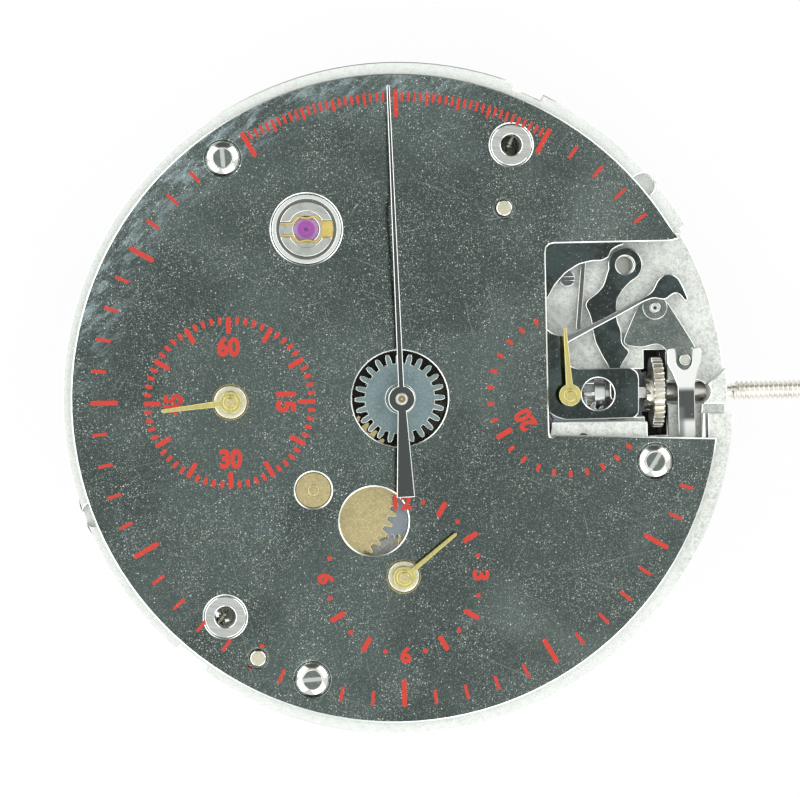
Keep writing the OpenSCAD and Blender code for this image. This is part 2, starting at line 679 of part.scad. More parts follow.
// Face teeth with one steep and one sloping side
module ratchet_ring(outer, inner, h, n) {
  difference() {
    cylinder(r = outer, h = h, $fn = 48);
    translate([0, 0, -1]) cylinder(r = inner, h = h + 2, $fn = 48);
    for (i = [0 : n - 1]) rotate(i * 360 / n) translate([outer * 0.76, 0, h])
      rotate([90, 0, 90]) linear_extrude(outer, center = true)
        polygon([[-0.2, 0.01], [0, -h * 0.7], [0.05, -h * 0.7], [0.07, 0.01]]);
  }
}

module winding_pinion() {
  color(steel) difference() {
    union() {
      along_stem(wind_pinion_x) linear_extrude(wind_pinion_t)
        gear_2d(wind_teeth, wind_pinion_r - 0.09);
      along_stem(wind_pinion_x + 0.01) mirror([0, 0, 1]) ratchet_ring(0.84, 0.4, 0.3, 10);
    }
    along_stem(11) cylinder(r = stem_bare_r + turn_gap, h = 3, $fn = 32);
  }
}

module winding_stem() {
  color(steel) {
    along_stem(stem_tip) cylinder(r = 0.18, h = 0.6, $fn = 24);
    translate([9.04, -0.25, stem_z - 0.25]) cube([2.6, 0.5, 0.5]);
    along_stem(11.6) cylinder(r = stem_bare_r, h = 1.42, $fn = 32);
    along_stem(13.0) cylinder(r = 0.22, h = 0.52, $fn = 32);
    along_stem(13.5) cylinder(r = stem_bare_r, h = stem_thread_x + 0.01 - 13.5, $fn = 32);
    along_stem(stem_bearing_x) cylinder(d = stem_bearing_d, h = stem_bearing_l, $fn = 48);
    along_stem(stem_thread_x) cylinder(d = stem_thread_d, h = stem_reach - stem_thread_x,
      $fn = 48);
  }
}

// Motion works

minute_turn = mesh_turn(0, cannon_teeth, [0, 0], minute_teeth, minute_at);
mid_setting_turn = mesh_turn(minute_turn, minute_teeth, minute_at, mid_setting_teeth,
  mid_setting_at);
setting_turn = mesh_turn(mid_setting_turn, mid_setting_teeth, mid_setting_at,
  setting_teeth, setting_at);

module setting_wheel() {
  color(steel) {
    at(setting_at, level_1) linear_extrude(level_1_t) rotate(setting_turn)
      gear_2d(setting_teeth, setting_r - 0.02);
    at(setting_at, floor_z - 0.5) cylinder(r = 0.25, h = level_1 - floor_z + 0.6,
      $fn = 32);
  }
}

module intermediate_setting_wheel() {
  color(steel) {
    at(mid_setting_at, level_1) linear_extrude(level_1_t) rotate(mid_setting_turn)
      gear_2d(mid_setting_teeth, mid_setting_r - 0.02);
    at(mid_setting_at, floor_z - 0.2) cylinder(r = 0.25, h = level_1 - floor_z + 0.4,
      $fn = 32);
  }
}

module minute_wheel() {
  color(brass) {
    at(minute_at, level_1) linear_extrude(level_1_t) rotate(minute_turn)
      gear_2d(minute_teeth, minute_pitch - 0.02);
    at(minute_at, level_1) linear_extrude(level_2 + level_2_t - level_1)
      gear_2d(minute_pinion_teeth, 0.38);
    at(minute_at, floor_z - 0.2) cylinder(r = 0.25, h = level_1 - floor_z + 0.3,
      $fn = 32);
  }
}

module cannon_pinion() {
  color(steel) difference() {
    union() {
      translate([0, 0, level_1]) linear_extrude(level_1_t) gear_2d(cannon_teeth, cannon_pitch);
      translate([0, 0, level_1]) cylinder(r = 0.44, h = dial_top + 0.5 - level_1,
        $fn = 48);
    }
    translate([0, 0, 0]) cylinder(r = 0.3 + turn_gap, h = 5, $fn = 32);
  }
}

hour_teeth = 24;
day_teeth = 48;
day_pitch = norm(day_at) * day_teeth / (day_teeth + hour_teeth);
hour_pitch = norm(day_at) - day_pitch;

module hour_wheel() {
  color(steel) difference() {
    union() {
      translate([0, 0, level_3]) linear_extrude(dial_top - 0.15 - level_3)
        rotate(atan2(day_at[1], day_at[0])) gear_2d(hour_teeth, hour_pitch, 0.95, 1.9, 0.5);
      translate([0, 0, level_2]) linear_extrude(level_2_t)
        rotate(mesh_turn(0, minute_pinion_teeth, minute_at, hour_low_teeth, [0, 0]))
          gear_2d(hour_low_teeth, 1.58);
      translate([0, 0, level_2]) cylinder(r = 0.71, h = dial_top + 0.3 - level_2,
        $fn = 48);
    }
    translate([0, 0, 0]) cylinder(r = 0.44 + turn_gap, h = 5, $fn = 48);
  }
}

module day_wheel() {
  color(brass) {
    at(day_at, level_3) linear_extrude(level_3_t) rotate(atan2(-day_at[1], -day_at[0])
      + 180 / day_teeth) gear_2d(day_teeth, day_pitch, 0.9, 1.2, 0.44);
    at(day_at, level_3) cylinder(r = 0.8, h = dial_top - 0.1 - level_3, $fn = 48);
    at(day_at, floor_z + 0.1) cylinder(r = 0.25, h = dial_top - floor_z - 0.1, $fn = 32);
  }
}

idler_line = norm(hours_at - idler_at);
hour_counter_pitch = 2.45;
idler_pitch = idler_line - hour_counter_pitch;

module hour_counter_idler() {
  color(steel) {
    at(idler_at, level_1) linear_extrude(level_1_t) rotate(mesh_turn(0, 72, hours_at,
      12, idler_at)) gear_2d(12, idler_pitch);
    at(idler_at, level_2) linear_extrude(level_2_t) gear_2d(24, 1.06);
    at(idler_at, floor_z - 0.5) cylinder(r = 0.25, h = level_2 - floor_z + 0.6, $fn = 32);
  }
}

module hour_counter_wheel() {
  color(brass) {
    at(hours_at, level_1) linear_extrude(level_1_t) difference() {
      gear_2d(72, hour_counter_pitch);
      crossings_2d(1.95, 0.9, 4, 0.35);
    }
    at(hours_at, level_1) linear_extrude(level_2 + level_2_t - level_1) heart_2d(0.75);
    at(hours_at, floor_z - 0.5) cylinder(r = 0.22, h = hand_top - floor_z + 0.5, $fn = 32);
  }
}

// Reset cam: its radius grows alike on both sides, so a flat always turns it home
module heart_2d(r) {
  polygon([for (i = [-18 : 17]) let (a = i * 10)
    r * (0.42 + 0.58 * abs(a) / 180) * [cos(a), sin(a)]]);
}

// Hands

module hand_2d(len, w_root, w_tip, hub_r) {
  circle(r = hub_r, $fn = 48);
  polygon([[0, -w_root / 2], [len - w_tip / 2, -w_tip / 2], [len, 0],
    [len - w_tip / 2, w_tip / 2], [0, w_root / 2]]);
}

module small_hand(p, z, angle, len, w_root, w_tip, bore) {
  at(p, z) difference() {
    union() {
      rotate(angle) linear_extrude(hand_t) hand_2d(len, w_root, w_tip, small_hub_r);
      cylinder(r = bore + 0.14, h = hand_t + 0.06, $fn = 32);
    }
    translate([0, 0, -1]) cylinder(r = bore, h = 3, $fn = 32);
  }
}

module chrono_seconds_hand() {
  color(dark_steel) translate([0, 0, chrono_hand_z]) difference() {
    union() {
      rotate(90 + chrono_angle) linear_extrude(hand_t) {
        circle(r = 0.61, $fn = 48);
        polygon([[0, -0.14], [chrono_len - 0.1, -0.07], [chrono_len, 0],
          [chrono_len - 0.1, 0.07], [0, 0.14]]);
        polygon([[0, -0.18], [-chrono_tail, -0.42], [-chrono_tail, 0.42], [0, 0.18]]);
      }
      translate([0, 0, -0.3]) cylinder(r = 0.42, h = 0.3 + hand_t, $fn = 48);
    }
    translate([0, 0, -1]) cylinder(r = 0.24, h = 3, $fn = 32);
  }
}

module small_seconds_hand() {
  color(gold) small_hand(seconds_at, small_hand_z, 186.2, small_len, 0.32, 0.18,
    0.2);
}

module minute_counter_hand() {
  color(gold) small_hand(minutes_at, small_hand_z, 93.4, counter_len, 0.35, 0.15,
    0.16);
}

module hour_counter_hand() {
  color(gold) small_hand(hours_at, small_hand_z, 38.9, counter_len, 0.25, 0.16,
    0.22);
}

// Barrel

module barrel_drum() {
  wall = barrel_r - 0.4;
  color(brass) at(barrel_at, barrel_z) difference() {
    union() {
      cylinder(r = wall, h = barrel_h, $fn = 128);
      linear_extrude(0.4) gear_2d(84, barrel_r - 0.1);
    }
    translate([0, 0, 0.2]) cylinder(r = wall - 0.25, h = barrel_h - 0.4, $fn = 96);
    translate([0, 0, -1]) cylinder(r = wall - 0.45, h = 2, $fn = 96);
    translate([0, 0, -1]) cylinder(r = 0.5 + turn_gap, h = 4, $fn = 48);
  }
}

module barrel_cover() {
  color(brass) at(barrel_at, barrel_z) difference() {
    cylinder(r = barrel_r - 0.87, h = 0.18, $fn = 96);
    translate([0, 0, -1]) cylinder(r = 0.5 + turn_gap, h = 3, $fn = 48);
  }
}

module barrel_arbor() {
  color(steel) at(barrel_at, 0) {
    translate([0, 0, ratchet_z - 0.25]) cylinder(r = 0.5, h = floor_z - 0.05 - ratchet_z
      + 0.25, $fn = 48);
    translate([0, 0, barrel_z + 0.24]) cylinder(r = 1.1, h = barrel_h - 0.5, $fn = 48);
  }
}

// A flat strip wound in a plane: r_in and r_out are its centre line's radii
module spiral_strip(r_in, r_out, turns, strip, h, from = 0) {
  steps = turns * 24;
  function at_step(i, side) = let (a = from + i * 15,
    r = r_in + (r_out - r_in) * i / steps + side * strip / 2) r * [cos(a), sin(a)];
  linear_extrude(h) polygon(concat([for (i = [0 : steps]) at_step(i, 1)],
    [for (i = [steps : -1 : 0]) at_step(i, -1)]));
}

// Least distance between neighbouring turns, measured between points of the strip
function coil_gap(r_in, r_out, turns, strip) = let (steps = turns * 24)
  min([for (i = [0 : steps - 24]) let (a = i * 15, inner = r_in + (r_out - r_in) * i / steps
    + strip / 2, outer = r_in + (r_out - r_in) * (i + 24) / steps - strip / 2)
    norm(outer * [cos(a), sin(a)] - inner * [cos(a), sin(a)])]);

mainspring_in = 1.25;
mainspring_out = barrel_r - 0.78;
mainspring_strip = 0.1;

module mainspring() {
  color(blue_steel) at(barrel_at, barrel_z + 0.24)
    spiral_strip(mainspring_in, mainspring_out, mainspring_turns, mainspring_strip,
      barrel_h - 0.5);
}

// Winding wheels, click and their bridge

between_turn = mesh_turn(0, crown_teeth, crown_at, between_teeth, between_at);
ratchet_turn = mesh_turn(between_turn, between_teeth, between_at, ratchet_teeth,
  barrel_at);

module barrel_bridge_2d() {
  intersection() {
    circle(d = bridge_d, $fn = 128);
    polygon(eased([[-1.6, 2.9], [2.9, 2.9], [4.6, -0.6], [6.2, -3.1], [9, -3.9],
      [12.6, -3.9], [16, 0], [16, 9], [11, 13], [-0.2, 15], [-0.2, 11.4], [0.7, 8.4],
      [-0.9, 4.6]], 0.8));
  }
}

module barrel_bridge() {
  color(nickel) difference() {
    translate([0, 0, bridge_bottom]) linear_extrude(back_z - bridge_bottom)
      barrel_bridge_2d();
    at(barrel_at, bridge_bottom - 1) cylinder(r = ratchet_pitch + 0.3,
      h = winding_floor - bridge_bottom + 1, $fn = 96);
    at(balance_at, bridge_bottom - 1) cylinder(r = balance_r + 0.3,
      h = balance_z + balance_h + 0.2 - bridge_bottom + 1, $fn = 96);
    at(crown_at, bridge_bottom - 1) cylinder(r = 2.1,
      h = winding_floor - bridge_bottom + 1, $fn = 96);
    at(between_at, bridge_bottom - 1) cylinder(r = between_pitch + 0.3,
      h = winding_floor - bridge_bottom + 1, $fn = 64);
    at(click_at, bridge_bottom - 1) cylinder(r = 1.15,
      h = winding_floor - bridge_bottom + 1, $fn = 48);
    translate([0, 0, bridge_bottom - 1]) linear_extrude(winding_floor - bridge_bottom + 1)
      intersection() {
        translate([4.1, 10.3]) square([4.2, 2]);
        circle(d = bridge_d - 1, $fn = 96);
      }
    at(barrel_at, -3) cylinder(r = 0.5 + turn_gap, h = 4, $fn = 48);
    translate([wind_slot_x, -wind_slot_r, -3]) cube([wind_slot_w, 2 * wind_slot_r, 4]);
    at([0, 0], -3) cylinder(r = 1.6, h = 4, $fn = 48);
    at(minutes_at, -3) cylinder(r = 0.16 + turn_gap, h = 4, $fn = 32);
    for (p = bridge_screw_at) at(p, -3) cylinder(r = bridge_screw_r + turn_gap, h = 4, $fn = 32);
    for (p = [crown_at, between_at, click_at]) at(p, winding_floor - 1)
      cylinder(r = pivot_shank, h = 1.47, $fn = 24);
    at(chrono_post_at[1], bridge_bottom - 1) cylinder(r = 0.28, h = 1.62, $fn = 24);
    foot_end_pockets();
  }
}

// Room for the ends of the dial's feet, which reach through the plate
module foot_end_pockets() {
  for (p = foot_at) at(p, back_z - 0.25) cylinder(r = foot_hole_r + 0.14, h = 1, $fn = 48);
}

module ratchet_wheel() {
  color(steel) at(barrel_at, ratchet_z) difference() {
    linear_extrude(ratchet_t) rotate(ratchet_turn) gear_2d(ratchet_teeth, ratchet_pitch);
    translate([0, 0, -1]) cylinder(r = 0.5, h = 3, $fn = 48);
  }
}

module crown_wheel() {
  color(steel) at(crown_at, ratchet_z) difference() {
    linear_extrude(ratchet_t) gear_2d(crown_teeth, crown_pitch);
    translate([0, 0, -1]) cylinder(r = 0.6 + turn_gap, h = 3, $fn = 48);
  }
}

module intermediate_winding_wheel() {
  color(steel) at(between_at, ratchet_z) difference() {
    linear_extrude(ratchet_t) rotate(between_turn) gear_2d(between_teeth, between_pitch);
    translate([0, 0, -1]) cylinder(r = 0.4 + turn_gap, h = 3, $fn = 48);
  }
}

click_at = [7.35, 9.35];

module click() {
  color(steel) at(click_at, ratchet_z) difference() {
    linear_extrude(ratchet_t) {
      circle(r = 0.55, $fn = 48);
      bar_2d([0, 0], [-0.55, -0.35], 0.4, 0.22);
      bar_2d([0, 0], [0.15, 0.75], 0.3, 0.2);
    }
    translate([0, 0, -1]) cylinder(r = 0.25 + turn_gap, h = 3, $fn = 32);
  }
}

click_spring_at = [4.6, 10.9];

module click_spring() {
  color(steel) translate([0, 0, ratchet_z]) linear_extrude(ratchet_t - 0.1) {
    bar_2d(click_spring_at, [6.9, 11.1], 0.3, 0.1);
    bar_2d([6.9, 11.1], [7.9, 10.45], 0.1, 0.06);
  }
  color(steel) at(click_spring_at, ratchet_z)
    cylinder(r = 0.3, h = winding_floor - ratchet_z, $fn = 32);
}

// Going train

module centre_wheel() {
  color(brass) translate([0, 0, centre_wheel_z]) difference() {
    union() {
      train_wheel(80, 3.9, wheel_t, 5, 0.9);
      linear_extrude(0.95) rotate(mesh_turn(0, 84, barrel_at, 12, [0, 0])) gear_2d(12, 0.72);
      cylinder(r = 0.55, h = 1.75, $fn = 48);
    }
    translate([0, 0, -1]) cylinder(r = 0.3 + turn_gap, h = 5, $fn = 32);
  }
  color(steel) translate([0, 0, centre_wheel_z + 1.7]) tube(0.44, 0.3 + turn_gap, 0.32);
}

module arbor(p, low, high, r = 0.2) {
  at(p, low) cylinder(r = r, h = high - low, $fn = 24);
}

module third_wheel() {
  color(brass) {
    at(third_at, third_wheel_z) train_wheel(75, 3.17, wheel_t, 5, 0.7);
    at(third_at, third_wheel_z) linear_extrude(0.8)
      rotate(mesh_turn(0, 80, [0, 0], 10, third_at)) gear_2d(10, 0.47);
    arbor(third_at, bridge_bottom + 0.05, back_z + 0.45);
  }
}

module fourth_wheel() {
  color(brass) {
    at(seconds_at, fourth_wheel_z) train_wheel(70, 2.95, wheel_t, 5, 0.7);
    at(seconds_at, fourth_wheel_z) linear_extrude(0.6)
      rotate(mesh_turn(0, 75, third_at, 10, seconds_at)) gear_2d(10, 0.41);
    at(seconds_at, lever_layer_z) linear_extrude(wheel_t) difference() {
      gear_2d(60, 2.15);
      crossings_2d(1.75, 0.6, 4, 0.3);
    }
    arbor(seconds_at, lever_layer_z - 0.5, hand_top);
  }
}

module escape_wheel() {
  color(steel) {
    at(escape_at, escape_z) linear_extrude(0.16) difference() {
      polygon([for (i = [0 : 14]) for (c = [[1.6, -9.5], [1.62, -2], [escape_r, 1.2],
          [escape_r, 2.6], [1.85, 4.6], [1.6, 7]])
        c[0] * [cos(i * 24 + c[1]), sin(i * 24 + c[1])]]);
      crossings_2d(1.4, 0.45, 4, 0.25);
    }
    at(escape_at, fourth_wheel_z - 0.05) linear_extrude(0.5)
      rotate(mesh_turn(0, 70, seconds_at, 8, escape_at)) gear_2d(8, 0.36);
    arbor(escape_at, bridge_bottom + 0.05, back_z + 0.45);
  }
}

module pallet_fork() {
  angle = atan2(escape_line[1], escape_line[0]);
  color(steel) at(pallet_at, escape_z) {
    rotate(angle) linear_extrude(0.16) {
      bar_2d([0, 0], [1.75, 0], 0.3, 0.16);
      for (s = [-1, 1]) {
        bar_2d([1.75, 0], [2.3, 0.28 * s], 0.14, 0.1);
        bar_2d([0, 0], [-0.55, 1.25 * s], 0.26, 0.17);
      }
    }
    translate([0, 0, -0.5]) cylinder(r = 0.2, h = 1.25, $fn = 24);
  }
}

module pallet_bridge() {
  foot = [[-8.7, 6.9], [-7.9, 7.4]];
  color(nickel) difference() {
    union() {
      translate([0, 0, -1.6]) linear_extrude(0.35) bar_2d(foot[0], pallet_at, 0.5, 0.5);
      translate([0, 0, -1.6]) linear_extrude(back_z + 1.6) bar_2d(foot[0], foot[1], 0.6, 0.55);
    }
    at(pallet_at, -2) cylinder(r = 0.2 + turn_gap, h = 3, $fn = 24);
  }
}

module train_bridge_2d() {
  difference() {
    intersection() {
      circle(d = bridge_d, $fn = 128);
      polygon(eased([[-15, 4.6], [-8.4, 4.9], [-6, 3.9], [-4.4, 3], [-1.7, 2.8],
        [2.6, 2.8], [4.3, -0.7], [5.9, -3.2], [7.6, -5.5], [8, -9.2], [2.5, -13.5], [-4, -13.4],
        [-9, -9.6], [-15, -7]], 0.8));
    }
    translate(balance_at) circle(r = balance_r + 0.3, $fn = 96);
  }
}

module train_bridge() {
  color(nickel) difference() {
    translate([0, 0, bridge_bottom]) linear_extrude(back_z - bridge_bottom)
      train_bridge_2d();
    translate([0, 0, -1.5]) linear_extrude(3) {
      circle(r = 4.15, $fn = 96);
      translate(third_at) circle(r = 3.5, $fn = 96);
      translate(seconds_at) circle(r = 3.25, $fn = 96);
      translate(escape_at) circle(r = 2.35, $fn = 96);
    }
    at([0, 0], -3) cylinder(r = 1, h = 4, $fn = 48);
    for (p = [seconds_at, third_at, escape_at]) at(p, -3)
      cylinder(r = jewel_r, h = 4, $fn = 48);
    for (p = bridge_screw_at) at(p, -3) cylinder(r = bridge_screw_r + turn_gap, h = 4, $fn = 32);
    for (p = [hammer_at, column_at]) at(p, bridge_bottom - 1)
      cylinder(r = pivot_shank, h = 1.47, $fn = 24);
    at(counter_mid_at, bridge_bottom - 1) cylinder(r = 0.12 + turn_gap, h = 1.3, $fn = 24);
    at(chrono_post_at[0], bridge_bottom - 1) cylinder(r = 0.28, h = 1.62, $fn = 24);
    foot_end_pockets();
  }
}

module bridge_jewels() {
  color(ruby) for (p = [seconds_at, third_at, escape_at]) at(p, bridge_bottom)
    tube(jewel_r, 0.2 + turn_gap, 0.35);
  color(ruby) at(balance_at, dial_z - 0.8)
    cylinder(r = jewel_r - 0.005, h = shock_h - 0.62, $fn = 48);
}

// Balance

module balance_wheel() {
  color(gold) at(balance_at, 0) {
    translate([0, 0, balance_z]) {
      tube(balance_r, balance_r - 0.42, balance_h);
      translate([0, 0, 0.12]) linear_extrude(0.18) {
        square([2 * balance_r - 0.5, 0.42], center = true);
        circle(r = 0.9, $fn = 48);
      }
      for (i = [0 : 15]) rotate(i * 22.5 + 11.25) translate([balance_r - 0.02, 0, 0.22])
        rotate([0, 90, 0]) cylinder(r = 0.16, h = 0.26, $fn = 16);
    }
    translate([0, 0, cock_z + 0.08]) cylinder(r = 0.14, h = dial_z - 0.95 - cock_z, $fn = 24);
    translate([0, 0, escape_z - 0.1]) cylinder(r = 0.42, h = 0.1, $fn = 32);
    translate([0, 0, hairspring_z]) cylinder(r = 0.45, h = 0.35, $fn = 32);
  }
}

hairspring_in = 0.62;
hairspring_out = 2.6;
hairspring_strip = 0.06;

module hairspring() {
  color(blue_steel) at(balance_at, hairspring_z)
    spiral_strip(hairspring_in, hairspring_out, hairspring_turns, hairspring_strip, 0.14,
      from = 30);
}

module balance_cock() {
  color(nickel) difference() {
    union() {
      translate([0, 0, cock_z]) linear_extrude(cock_t) intersection() {
        circle(d = bridge_d, $fn = 128);
        bar_2d(cock_screw_at, balance_at, 1.7, 1.5);
      }
      translate([0, 0, cock_z + cock_t]) linear_extrude(back_z - cock_z - cock_t)
        intersection() {
          circle(d = bridge_d, $fn = 128);
          difference() {
            translate(cock_screw_at) circle(r = 1.5, $fn = 64);
            translate(balance_at) circle(r = balance_r + 0.5, $fn = 96);
          }
        }
    }
    at(balance_at, -5) cylinder(r = 0.2, h = 4, $fn = 24);
    at(cock_screw_at, -5) cylinder(r = bridge_screw_r + turn_gap, h = 5, $fn = 24);
  }
}

module regulator_index() {
  color(steel) at(balance_at, cock_z - 0.16) difference() {
    linear_extrude(0.14) {
      circle(r = 1.5, $fn = 64);
      bar_2d([0, 0], [2.9, 0.9], 0.3, 0.12);
      bar_2d([0, 0], [0.9, -2.5], 0.3, 0.3);
    }
    translate([0, 0, -1]) cylinder(r = 1.15 + turn_gap, h = 3, $fn = 64);
  }
}

// Chronograph works on the back

module chrono_runner() {
  color(gold) translate([0, 0, chrono_wheel_z]) {
    train_wheel(120, 3.4, 0.15, 4, 1.1);
    translate([0, 0, -0.35]) linear_extrude(0.35) heart_2d(1.15);
    cylinder(r = 0.3, h = dial_top + 0.9 - chrono_wheel_z, $fn = 32);
    cylinder(r = 0.24, h = chrono_hand_z + hand_t + 0.12 - chrono_wheel_z, $fn = 32);
    translate([0, 0, -1.1]) cylinder(r = 0.2, h = 1.2, $fn = 24);
    translate([0, 0, 0.14]) linear_extrude(0.14) bar_2d([0, 0], [3.66, -0.4], 0.8, 0.08);
  }
}

module minute_counter_runner() {
  color(gold) at(minutes_at, chrono_wheel_z) {
    train_wheel(60, 2.2, 0.15, 4, 0.8, 0.3, 0.25);
    translate([0, 0, -0.35]) linear_extrude(0.35) heart_2d(0.95);
    cylinder(r = 0.16, h = hand_top - chrono_wheel_z, $fn = 24);
    translate([0, 0, -1.1]) cylinder(r = 0.16, h = 1.2, $fn = 24);
  }
}

module intermediate_counter_wheel() {
  color(steel) at(counter_mid_at, chrono_wheel_z) {
    linear_extrude(0.3)
      rotate(mesh_turn(0, 60, minutes_at, 36, counter_mid_at)) gear_2d(36, 1.2);
    translate([0, 0, -0.6]) cylinder(r = 0.3, h = 1.4, $fn = 24);
    translate([0, 0, -0.9]) cylinder(r = 0.12, h = 2.05, $fn = 24);
  }
}

module coupling_lever() {
  color(steel) difference() {
    translate([0, 0, lever_layer_z - 0.35]) linear_extrude(0.25) {
      bar_2d(seconds_at, coupling_at, 0.8, 0.5);
      bar_2d(seconds_at, [-8.2, -5.6], 0.6, 0.45);
      bar_2d([-8.2, -5.6], [-3.5, -9.6], 0.45, 0.25);
    }
    at(coupling_at, -5) cylinder(r = 0.2 + turn_gap, h = 4, $fn = 24);
    at(seconds_at, -5) cylinder(r = 0.2 + turn_gap, h = 4, $fn = 24);
  }
}

module coupling_wheel() {
  color(gold) {
    at(coupling_at, lever_layer_z) linear_extrude(wheel_t)
      rotate(mesh_turn(0, 60, seconds_at, 36, coupling_at)) gear_2d(36, 1.22);
    arbor(coupling_at, lever_layer_z - 0.45, lever_layer_z + 0.3);
  }
}

column_r = 1.75;

module column_wheel() {
  color(steel) at(column_at, bridge_bottom - side_gap) mirror([0, 0, 1]) difference() {
    union() {
      linear_extrude(0.35) polygon([for (i = [0 : 11]) for (c = [[column_r, 0],
          [column_r - 0.35, 4], [column_r - 0.1, 26]])
        c[0] * [cos(i * 30 + c[1]), sin(i * 30 + c[1])]]);
      linear_extrude(column_low) difference() {
        circle(r = 1.25, $fn = 48);
        circle(r = 0.75, $fn = 48);
        for (i = [0 : 5]) rotate(i * 60) translate([0.4, -0.22]) square([1.2, 0.44]);
      }
      cylinder(r = 0.52, h = column_low, $fn = 32);
    }
    translate([0, 0, -1]) cylinder(r = 0.3 + turn_gap, h = 4, $fn = 32);
  }
}

operating_at = [9.3, -9.2];

// A long lever along the rim, from the pusher at 2 o'clock to the column wheel
module operating_lever() {
  route = [[13.1, 4.6], [13.9, 0.6], [12.9, -4.9], operating_at, [4.6, -12.2], [1.2, -12.5]];
  color(steel) difference() {
    translate([0, 0, -2.95]) linear_extrude(0.35) {
      for (i = [0 : len(route) - 2]) bar_2d(route[i], route[i + 1], 0.38, 0.38);
      translate(operating_at) circle(r = 0.75, $fn = 48);
    }
    at(operating_at, -5) cylinder(r = 0.35 + turn_gap, h = 4, $fn = 24);
  }
}

hammer_at = [6.2, -7.4];

module reset_hammer() {
  color(steel) difference() {
    translate([0, 0, chrono_wheel_z - 0.35]) linear_extrude(0.25) {
      bar_2d(hammer_at, [2.2, -2.6], 0.55, 0.35);
      bar_2d(hammer_at, [7.2, -2.7], 0.55, 0.3);
      bar_2d(hammer_at, [10.2, -6.6], 0.5, 0.35);
    }
    at(hammer_at, -5) cylinder(r = 0.3 + turn_gap, h = 4, $fn = 24);
  }
}

chrono_post_at = [[-4, 1.3], [11.5, -2.9]];

module chrono_bridge() {
  color(nickel) difference() {
    union() {
      translate([0, 0, chrono_bridge_z]) linear_extrude(chrono_bridge_t) {
        bar_2d(chrono_post_at[0], [0, 0], 0.8, 1);
        bar_2d([0, 0], minutes_at, 1, 0.9);
        bar_2d(minutes_at, chrono_post_at[1], 0.9, 0.8);
        bar_2d([4.65, 0], counter_mid_at, 0.8, 0.6);
      }
      translate([0, 0, chrono_bridge_z + 0.1])
        linear_extrude(bridge_bottom - chrono_bridge_z - 0.1) {
          for (p = chrono_post_at) translate(p) circle(r = 0.65, $fn = 48);
        }
    }
    at([0, 0], -5) cylinder(r = 0.2 + turn_gap, h = 4, $fn = 24);
    at(minutes_at, -5) cylinder(r = 0.16 + turn_gap, h = 4, $fn = 24);
    at(counter_mid_at, -5) cylinder(r = 0.12 + turn_gap, h = 4, $fn = 24);
    for (p = chrono_post_at) at(p, -5) cylinder(r = 0.28 + turn_gap, h = 4, $fn = 24);
  }
}

echo(mainspring_gap = coil_gap(mainspring_in, mainspring_out, mainspring_turns,
  mainspring_strip));
echo(hairspring_gap = coil_gap(hairspring_in, hairspring_out, hairspring_turns,
  hairspring_strip));

main_plate();
dial_plate();
movement_screws();
intermediate_winding_wheel();
steady_pins();
shock_setting_dial_side();
shock_spring_dial_side();
keyless_cover();
keyless_screws();
setting_lever();
setting_fork_spring();
yoke();
yoke_spring();
sliding_pinion();
winding_pinion();
winding_stem();
setting_wheel();
intermediate_setting_wheel();
minute_wheel();
cannon_pinion();
hour_wheel();
day_wheel();
hour_counter_idler();
hour_counter_wheel();
arbor_bushes();
chrono_seconds_hand();
small_seconds_hand();
minute_counter_hand();
hour_counter_hand();
barrel_drum();
barrel_cover();
barrel_arbor();
mainspring();
barrel_bridge();
ratchet_wheel();
crown_wheel();
click();
click_spring();
centre_wheel();
third_wheel();
fourth_wheel();
escape_wheel();
pallet_fork();
pallet_bridge();
train_bridge();
bridge_jewels();
balance_cock();
balance_wheel();
hairspring();
regulator_index();
shock_setting_back();
chrono_runner();
minute_counter_runner();
intermediate_counter_wheel();
coupling_lever();
coupling_wheel();
column_wheel();
operating_lever();
reset_hammer();
chrono_bridge();
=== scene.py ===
import json
from math import atan2, cos, degrees, hypot, pi, radians, sin

import bmesh
import bpy
from mathutils import Matrix, Vector


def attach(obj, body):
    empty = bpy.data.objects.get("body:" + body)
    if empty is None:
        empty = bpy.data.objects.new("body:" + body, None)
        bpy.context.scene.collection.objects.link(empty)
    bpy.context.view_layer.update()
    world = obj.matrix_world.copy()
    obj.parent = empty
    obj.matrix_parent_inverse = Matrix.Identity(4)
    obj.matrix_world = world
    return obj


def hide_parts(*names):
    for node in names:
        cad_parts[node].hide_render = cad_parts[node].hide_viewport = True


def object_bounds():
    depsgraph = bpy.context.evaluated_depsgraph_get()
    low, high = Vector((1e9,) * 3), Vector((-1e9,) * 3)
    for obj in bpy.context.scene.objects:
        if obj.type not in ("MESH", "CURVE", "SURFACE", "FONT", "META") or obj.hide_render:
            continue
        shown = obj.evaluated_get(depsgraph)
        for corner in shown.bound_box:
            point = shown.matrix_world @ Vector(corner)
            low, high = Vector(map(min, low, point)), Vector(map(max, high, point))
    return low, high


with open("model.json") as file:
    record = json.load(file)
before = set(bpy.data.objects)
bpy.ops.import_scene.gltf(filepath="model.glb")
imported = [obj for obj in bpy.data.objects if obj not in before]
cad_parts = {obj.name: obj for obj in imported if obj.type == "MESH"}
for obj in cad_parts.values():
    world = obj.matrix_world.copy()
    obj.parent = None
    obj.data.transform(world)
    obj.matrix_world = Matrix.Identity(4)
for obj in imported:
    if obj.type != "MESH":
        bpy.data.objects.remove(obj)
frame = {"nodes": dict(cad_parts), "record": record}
cad_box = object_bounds()

MM = 0.001
NODE_BODY = {node: body for body, nodes in frame["record"]["behaviour"]["bodies"].items()
             for node in nodes}
NODE_SLOT = {part["node"]: part["material_slot"] for part in frame["record"]["subparts"]}


# Heights and places, in millimetres, as the source of the part has them

